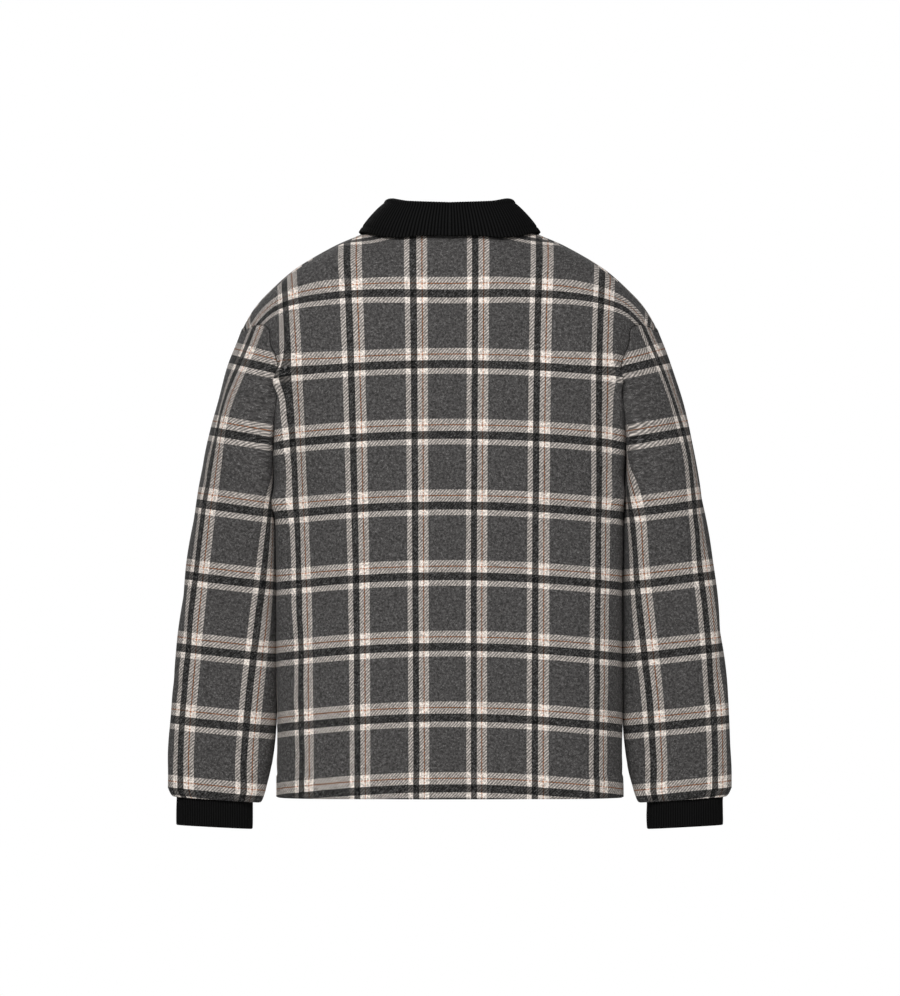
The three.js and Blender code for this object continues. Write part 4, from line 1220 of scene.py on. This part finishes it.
def pick(*pieces):
    """Selects these pieces alone and makes the first one active."""
    bpy.ops.object.select_all(action="DESELECT")
    for piece in pieces:
        piece.select_set(True)
    bpy.context.view_layer.objects.active = pieces[0]


def settle(piece):
    """Applies a piece's place to its mesh, so that its object sits at the origin."""
    pick(piece)
    bpy.ops.object.transform_apply(location=True, rotation=True, scale=True)


def joined(pieces):
    """Several pieces as one."""
    pick(*pieces)
    bpy.ops.object.join()
    return bpy.context.object


def stitch_shape(length, thread):
    """One stitch, a short thread with rounded ends that dips at both, as points and faces."""
    bpy.ops.object.select_all(action="DESELECT")
    bpy.ops.mesh.primitive_uv_sphere_add(segments=6, ring_count=6, radius=1)
    piece = bpy.context.object
    bpy.ops.object.mode_set(mode="EDIT")
    bpy.ops.mesh.quads_convert_to_tris()
    bpy.ops.object.mode_set(mode="OBJECT")
    points = np.array([vertex.co[:] for vertex in piece.data.vertices])
    faces = np.array([polygon.vertices[:] for polygon in piece.data.polygons])
    bpy.data.objects.remove(piece)
    reach = np.sign(points[:, 2]) * np.abs(points[:, 2]) ** 0.6
    along = reach * length / 2
    lift = thread * 0.9 * (1 - reach ** 2) - thread * 0.3
    return np.stack([along, points[:, 0] * thread, points[:, 1] * thread * 0.7 + lift], -1), faces


def sewing(name, lines, length, gap, thread, material):
    """Rows of stitches along lines of points with normals, as one joined mesh."""
    shape, faces = stitch_shape(length, thread)
    all_points, all_faces, base = [], [], 0
    for points, normals in lines:
        steps = length_along(points)
        count = int(steps[-1] // (length + gap))
        if count < 1:
            continue
        at = (np.arange(count) + 0.5) * steps[-1] / count
        before, after = at - length / 2, at + length / 2
        middle, first, last, up = (
            np.stack([np.interp(where, steps, values[:, k]) for k in range(3)], -1)
            for where, values in ((at, points), (before, points), (after, points), (at, normals))
        )
        forward = unit(last - first)
        sideways = unit(np.cross(up, forward))
        outward = np.cross(forward, sideways)
        placed = middle[:, None]
        for k, direction in enumerate((forward, sideways, outward)):
            placed = placed + shape[None, :, k:k + 1] * direction[:, None]
        all_points.append(placed.reshape(-1, 3))
        all_faces.append((faces[None] + (np.arange(count) * len(shape))[:, None, None] + base).reshape(-1, 3))
        base += count * len(shape)
    piece = mesh_object(name, np.concatenate(all_points), np.concatenate(all_faces), None, material)
    dress(piece, None)
    return piece


def body_line(face, side, shares, downs, out):
    points = body_point(face, side, shares, downs)
    normals = body_normal(face, side, shares, downs)
    return points + normals * out, normals


def level_line(face, side, height, start, end, out):
    shares = np.linspace(start, end, 260)
    return body_line(face, side, shares, down_at_height(face, shares, HEM_HEIGHT + height), out)


def make_stitching(sizes):
    turn = sizes.hem_turn_up * 1000
    out = FLANNEL_WALL / 2 - 0.35
    thread = plain_material("sewing_thread", tuple(bpy.context.scene.shirt_colours.thread), 0.7, 900)
    lap = float(-round_share(BUTTON_LAP / WIDTH_SECTIONS["half_width"][0]))
    hems = []
    for side in (1, -1):
        hems.append(level_line("back", side, turn, 0, 0.995, out))
        hems.append(level_line("front", side, turn, lap, 0.995, out))
    shares = np.full(400, float(share_at_width(FRONT_STITCH_INSET - BUTTON_LAP, -400)))
    edge = body_line("front", 1, shares, np.linspace(168, 760, 400), out)
    for name, lines in (("hem_stitching", hems), ("front_edge_stitching", [edge])):
        sewing(name, lines, sizes.stitch_length * 1000, STITCH_GAP, STITCH_THREAD, thread)


# Buttons

def make_button(sizes):
    """One button with a rim, a dish, four holes and its thread, lying flat with its face up."""
    radius, thick = sizes.button_width / 2, 0.003
    bpy.ops.object.select_all(action="DESELECT")
    bpy.ops.mesh.primitive_cylinder_add(vertices=64, radius=radius, depth=thick, location=(0, 0, thick / 2))
    button = bpy.context.object
    bpy.ops.object.mode_set(mode="EDIT")
    bpy.ops.mesh.select_all(action="DESELECT")
    bpy.ops.object.mode_set(mode="OBJECT")
    for face in button.data.polygons:
        face.select = face.normal.z > 0.9
    bpy.ops.object.mode_set(mode="EDIT")
    bpy.ops.mesh.select_mode(type="FACE")
    bpy.ops.mesh.inset(thickness=0.0019, depth=0)
    bpy.ops.mesh.inset(thickness=0.0006, depth=-0.0007)
    bpy.ops.object.mode_set(mode="OBJECT")
    bevel = button.modifiers.new("soft_edges", "BEVEL")
    bevel.width, bevel.segments, bevel.limit_method, bevel.angle_limit = 0.0006, 3, "ANGLE", 0.6
    bpy.ops.object.modifier_apply(modifier="soft_edges")
    holes = []
    for turn in range(4):
        angle = math.pi / 4 + turn * math.pi / 2
        place = (math.cos(angle) * 0.0021, math.sin(angle) * 0.0021, thick / 2)
        bpy.ops.mesh.primitive_cylinder_add(vertices=20, radius=0.0009, depth=thick * 3, location=place)
        holes.append(bpy.context.object)
    cutter = joined(holes)
    pick(button)
    cut = button.modifiers.new("holes", "BOOLEAN")
    cut.operation, cut.object, cut.solver = "DIFFERENCE", cutter, "EXACT"
    bpy.ops.object.modifier_apply(modifier="holes")
    bpy.data.objects.remove(cutter)
    bpy.ops.object.shade_smooth_by_angle(angle=0.6)
    return button


def thread_cross():
    """The thread that shows on a button, two strands each way over the four holes."""
    strands = []
    for turn in (0, 1):
        for shift in (-0.00035, 0.00035):
            angle = math.pi / 4 + turn * math.pi / 2
            place = (-math.sin(angle) * shift, math.cos(angle) * shift, 0.0026 + turn * 0.0003)
            bpy.ops.mesh.primitive_cylinder_add(vertices=10, radius=0.00032, depth=0.0052, location=place,
                                                rotation=(0, math.pi / 2, angle))
            strand = bpy.context.object
            for vertex in strand.data.vertices:
                end = abs(vertex.co.z) / 0.0026
                vertex.co.x += 0.0006 * end ** 3
            strands.append(strand)
    return joined(strands)


def place_copy(source, name, seat, normal, material):
    """A copy of a shape with its own mesh, set on the cloth at a place in millimetres."""
    piece = source.copy()
    piece.data = source.data.copy()
    piece.name = piece.data.name = name
    bpy.context.scene.collection.objects.link(piece)
    turn = Vector((0, 0, 1)).rotation_difference(Vector(normal))
    piece.rotation_mode = "QUATERNION"
    piece.rotation_quaternion = turn @ source.rotation_euler.to_quaternion()
    piece.location = Vector(seat) / 1000 + turn @ source.location
    piece.data.materials.clear()
    piece.data.materials.append(material)
    settle(piece)
    return piece


def make_buttons(sizes):
    colours = bpy.context.scene.shirt_colours
    resin = plain_material("button_resin", tuple(colours.button), 0.32, 260, 0.5)
    thread = plain_material("button_thread", tuple(colours.button_thread), 0.75, 900)
    button, cross = make_button(sizes), thread_cross()
    settle(button)
    settle(cross)
    slit_lines = []
    for k in range(BUTTON_COUNT):
        height = FIRST_BUTTON - k * BUTTON_SPACING
        share, down = np.array(0.0), down_at_height("front", 0.0, height)
        seat, normal = body_point("front", 1, share, down), body_normal("front", 1, share, down)
        seat = seat + normal * (FLANNEL_WALL / 2 + SEAM_GAP)
        piece = place_copy(button, f"shirt_button_{k + 1}", seat, normal, resin)
        dress(piece, f"button_{k + 1}")
        strands = place_copy(cross, f"button_thread_{k + 1}", seat, normal, thread)
        dress(strands, None)
        for aside in (-1.1, 1.1):
            downs = np.linspace(float(down) - 11, float(down) + 11, 40)
            shares = np.full(40, float(share_at_width(aside, height)))
            slit_lines.append(body_line("front", 1, shares, downs, FLANNEL_WALL / 2 - 0.1))
    bpy.data.objects.remove(button)
    bpy.data.objects.remove(cross)
    sewing("buttonhole_stitching", slit_lines, 0.9, 0.1, 0.55, thread)


# Stage

CAMERA_DISTANCE = 14.0
LENS_AT_FIVE_METRES = 144.6
STAGE_MIDDLE = (0, 0, -0.33)
LAMPS = (
    ("key_light", (0.7, 3.6, 2.5), 1.3, 136),
    ("fill_light", (-1.0, 3.9, 0.5), 2.2, 18),
    ("front_light", (0.6, -3.8, 1.5), 2.2, 130),
)


def make_stage():
    scene = bpy.context.scene
    scene.view_settings.view_transform = "Standard"
    bpy.ops.object.select_all(action="DESELECT")
    bpy.ops.mesh.primitive_plane_add(size=5, location=(0, 0, -1.45))
    floor = bpy.context.object
    floor.name = "floor"
    floor.data.materials.append(plain_material("pale_floor", (0.8, 0.8, 0.79), 0.9, 6, spread=0.01))
    settle(floor)
    world = bpy.data.worlds.new("studio")
    scene.world = world
    world.use_nodes = True
    tree = world.node_tree
    tree.nodes.clear()
    output = tree.nodes.new("ShaderNodeOutputWorld")
    seen, light = tree.nodes.new("ShaderNodeBackground"), tree.nodes.new("ShaderNodeBackground")
    seen.inputs[0].default_value = grey(1.0)
    light.inputs[0].default_value = grey(1.0)
    light.inputs[1].default_value = 0.2
    mix, path = tree.nodes.new("ShaderNodeMixShader"), tree.nodes.new("ShaderNodeLightPath")
    tree.links.new(path.outputs["Is Camera Ray"], mix.inputs[0])
    tree.links.new(light.outputs[0], mix.inputs[1])
    tree.links.new(seen.outputs[0], mix.inputs[2])
    tree.links.new(mix.outputs[0], output.inputs[0])
    for name, place, size, power in LAMPS:
        lamp = bpy.data.lights.new(name, "AREA")
        lamp.size, lamp.energy = size, power
        holder = bpy.data.objects.new(name, lamp)
        holder.location = place
        holder.rotation_euler = (Vector(STAGE_MIDDLE) - Vector(place)).to_track_quat("-Z", "Y").to_euler()
        scene.collection.objects.link(holder)
    camera = bpy.data.objects.new("photo_camera", bpy.data.cameras.new("photo_camera"))
    camera.data.lens = LENS_AT_FIVE_METRES * CAMERA_DISTANCE / 5
    camera.data.sensor_width = 36
    camera.data.clip_end = 50
    camera.location = (-0.0004, CAMERA_DISTANCE, -0.326)
    camera.rotation_euler = (math.pi / 2, 0, math.pi)
    scene.collection.objects.link(camera)
    scene.camera = camera


# The add-on's own parts

def size_property(name, description, default, least, most):
    return FloatProperty(name=name, description=description, default=default, min=least, max=most,
                         unit="LENGTH")


class ShirtSizes(bpy.types.PropertyGroup):
    hem_turn_up: size_property("Hem turn-up", "Height of the turned hem", 0.0272, 0.01, 0.06)
    stitch_length: size_property("Stitch", "Length of one topstitch", 0.0033, 0.001, 0.006)
    collar_rib_pitch: size_property("Collar rib", "Width of one rib of the collar", 0.00335, 0.002, 0.008)
    cuff_rib_pitch: size_property("Cuff rib", "Width of one rib of the cuffs", 0.0022, 0.001, 0.006)
    button_width: size_property("Button", "Width of a button", 0.016, 0.009, 0.02)


def colour_property(name, description, default):
    return FloatVectorProperty(name=name, description=description, subtype="COLOR", size=3, min=0, max=1,
                               default=default)


class ShirtColours(bpy.types.PropertyGroup):
    ground: colour_property("Ground", "Charcoal yarn of the squares", (0.07, 0.067, 0.066))
    dark: colour_property("Dark", "Black yarn of the dark bands", (0.006, 0.0063, 0.0063))
    cream: colour_property("Cream", "Cream yarn of the light bands", (0.88, 0.80, 0.735))
    orange: colour_property("Orange", "Rust yarn of the thin lines", (0.48, 0.165, 0.04))
    fibre: colour_property("Fibre", "Pale fibres raised by the brushing", (0.34, 0.33, 0.325))
    rib: colour_property("Rib", "Top of a rib", (0.0095, 0.0095, 0.0097))
    # Painted shade, the dark of the recesses between the ribs
    rib_painted_shade: colour_property("Rib shade", "Between two ribs", (0.0006, 0.0006, 0.0006))
    button: colour_property("Button", "Resin of the buttons", (0.012, 0.0115, 0.011))
    button_thread: colour_property("Button thread", "Thread of buttons and buttonholes", (0.03, 0.029, 0.028))
    thread: colour_property("Thread", "Thread of the topstitching", (0.2, 0.19, 0.18))


def make_fronts(sizes):
    for side, word in WEARER_SIDE.items():
        make_front(sizes, side, f"front_panel_{word}", f"front_{word}")


def make_sleeves(sizes):
    for side, word in WEARER_SIDE.items():
        make_sleeve(side, f"sleeve_cloth_{word}", f"sleeve_{word}")


def make_cuffs(sizes):
    for side, word in WEARER_SIDE.items():
        make_cuff(side, f"cuff_knit_{word}", f"cuff_{word}", sizes)


def operator(key, label, text, make):
    """The operator that makes one group of pieces."""
    def execute(self, context):
        make(context.scene.shirt_sizes)
        return {"FINISHED"}

    members = {"__doc__": text, "bl_idname": f"shirt.{key}", "bl_label": label, "execute": execute}
    return type(f"SHIRT_OT_{key}", (bpy.types.Operator,), members)


OPERATORS = (
    operator("stage", "Stage", "Makes the floor, the lights and the camera", lambda sizes: make_stage()),
    operator("back", "Back", "Makes the back panel", make_back),
    operator("fronts", "Fronts", "Makes the two front panels", make_fronts),
    operator("sleeves", "Sleeves", "Makes the two sleeves", make_sleeves),
    operator("collar", "Collar", "Makes the rib-knit collar", make_collar),
    operator("cuffs", "Cuffs", "Makes the two rib-knit cuffs", make_cuffs),
    operator("sewing", "Topstitching", "Makes the topstitching", make_stitching),
    operator("buttons", "Buttons", "Makes the buttons, their thread and the buttonholes", make_buttons),
)


class SHIRT_PT_panel(bpy.types.Panel):
    """Sizes, colours and pieces of the shirt"""
    bl_label = "Flannel overshirt"
    bl_idname = "SHIRT_PT_panel"
    bl_space_type = "VIEW_3D"
    bl_region_type = "UI"
    bl_category = "Shirt"

    def draw(self, context):
        for group in (context.scene.shirt_sizes, context.scene.shirt_colours):
            for key in group.bl_rna.properties.keys():
                if key not in ("rna_type", "name"):
                    self.layout.prop(group, key)
        for operator in OPERATORS:
            self.layout.operator(operator.bl_idname)


CLASSES = (ShirtSizes, ShirtColours, *OPERATORS, SHIRT_PT_panel)


def register():
    for item in CLASSES:
        bpy.utils.register_class(item)
    bpy.types.Scene.shirt_sizes = PointerProperty(type=ShirtSizes)
    bpy.types.Scene.shirt_colours = PointerProperty(type=ShirtColours)


def unregister():
    del bpy.types.Scene.shirt_colours
    del bpy.types.Scene.shirt_sizes
    for item in reversed(CLASSES):
        bpy.utils.unregister_class(item)


def main():
    register()
    bpy.ops.shirt.stage()
    bpy.ops.shirt.back()
    bpy.ops.shirt.fronts()
    bpy.ops.shirt.sleeves()
    bpy.ops.shirt.collar()
    bpy.ops.shirt.cuffs()
    bpy.ops.shirt.sewing()
    bpy.ops.shirt.buttons()


if __name__ == "__main__":
    main()
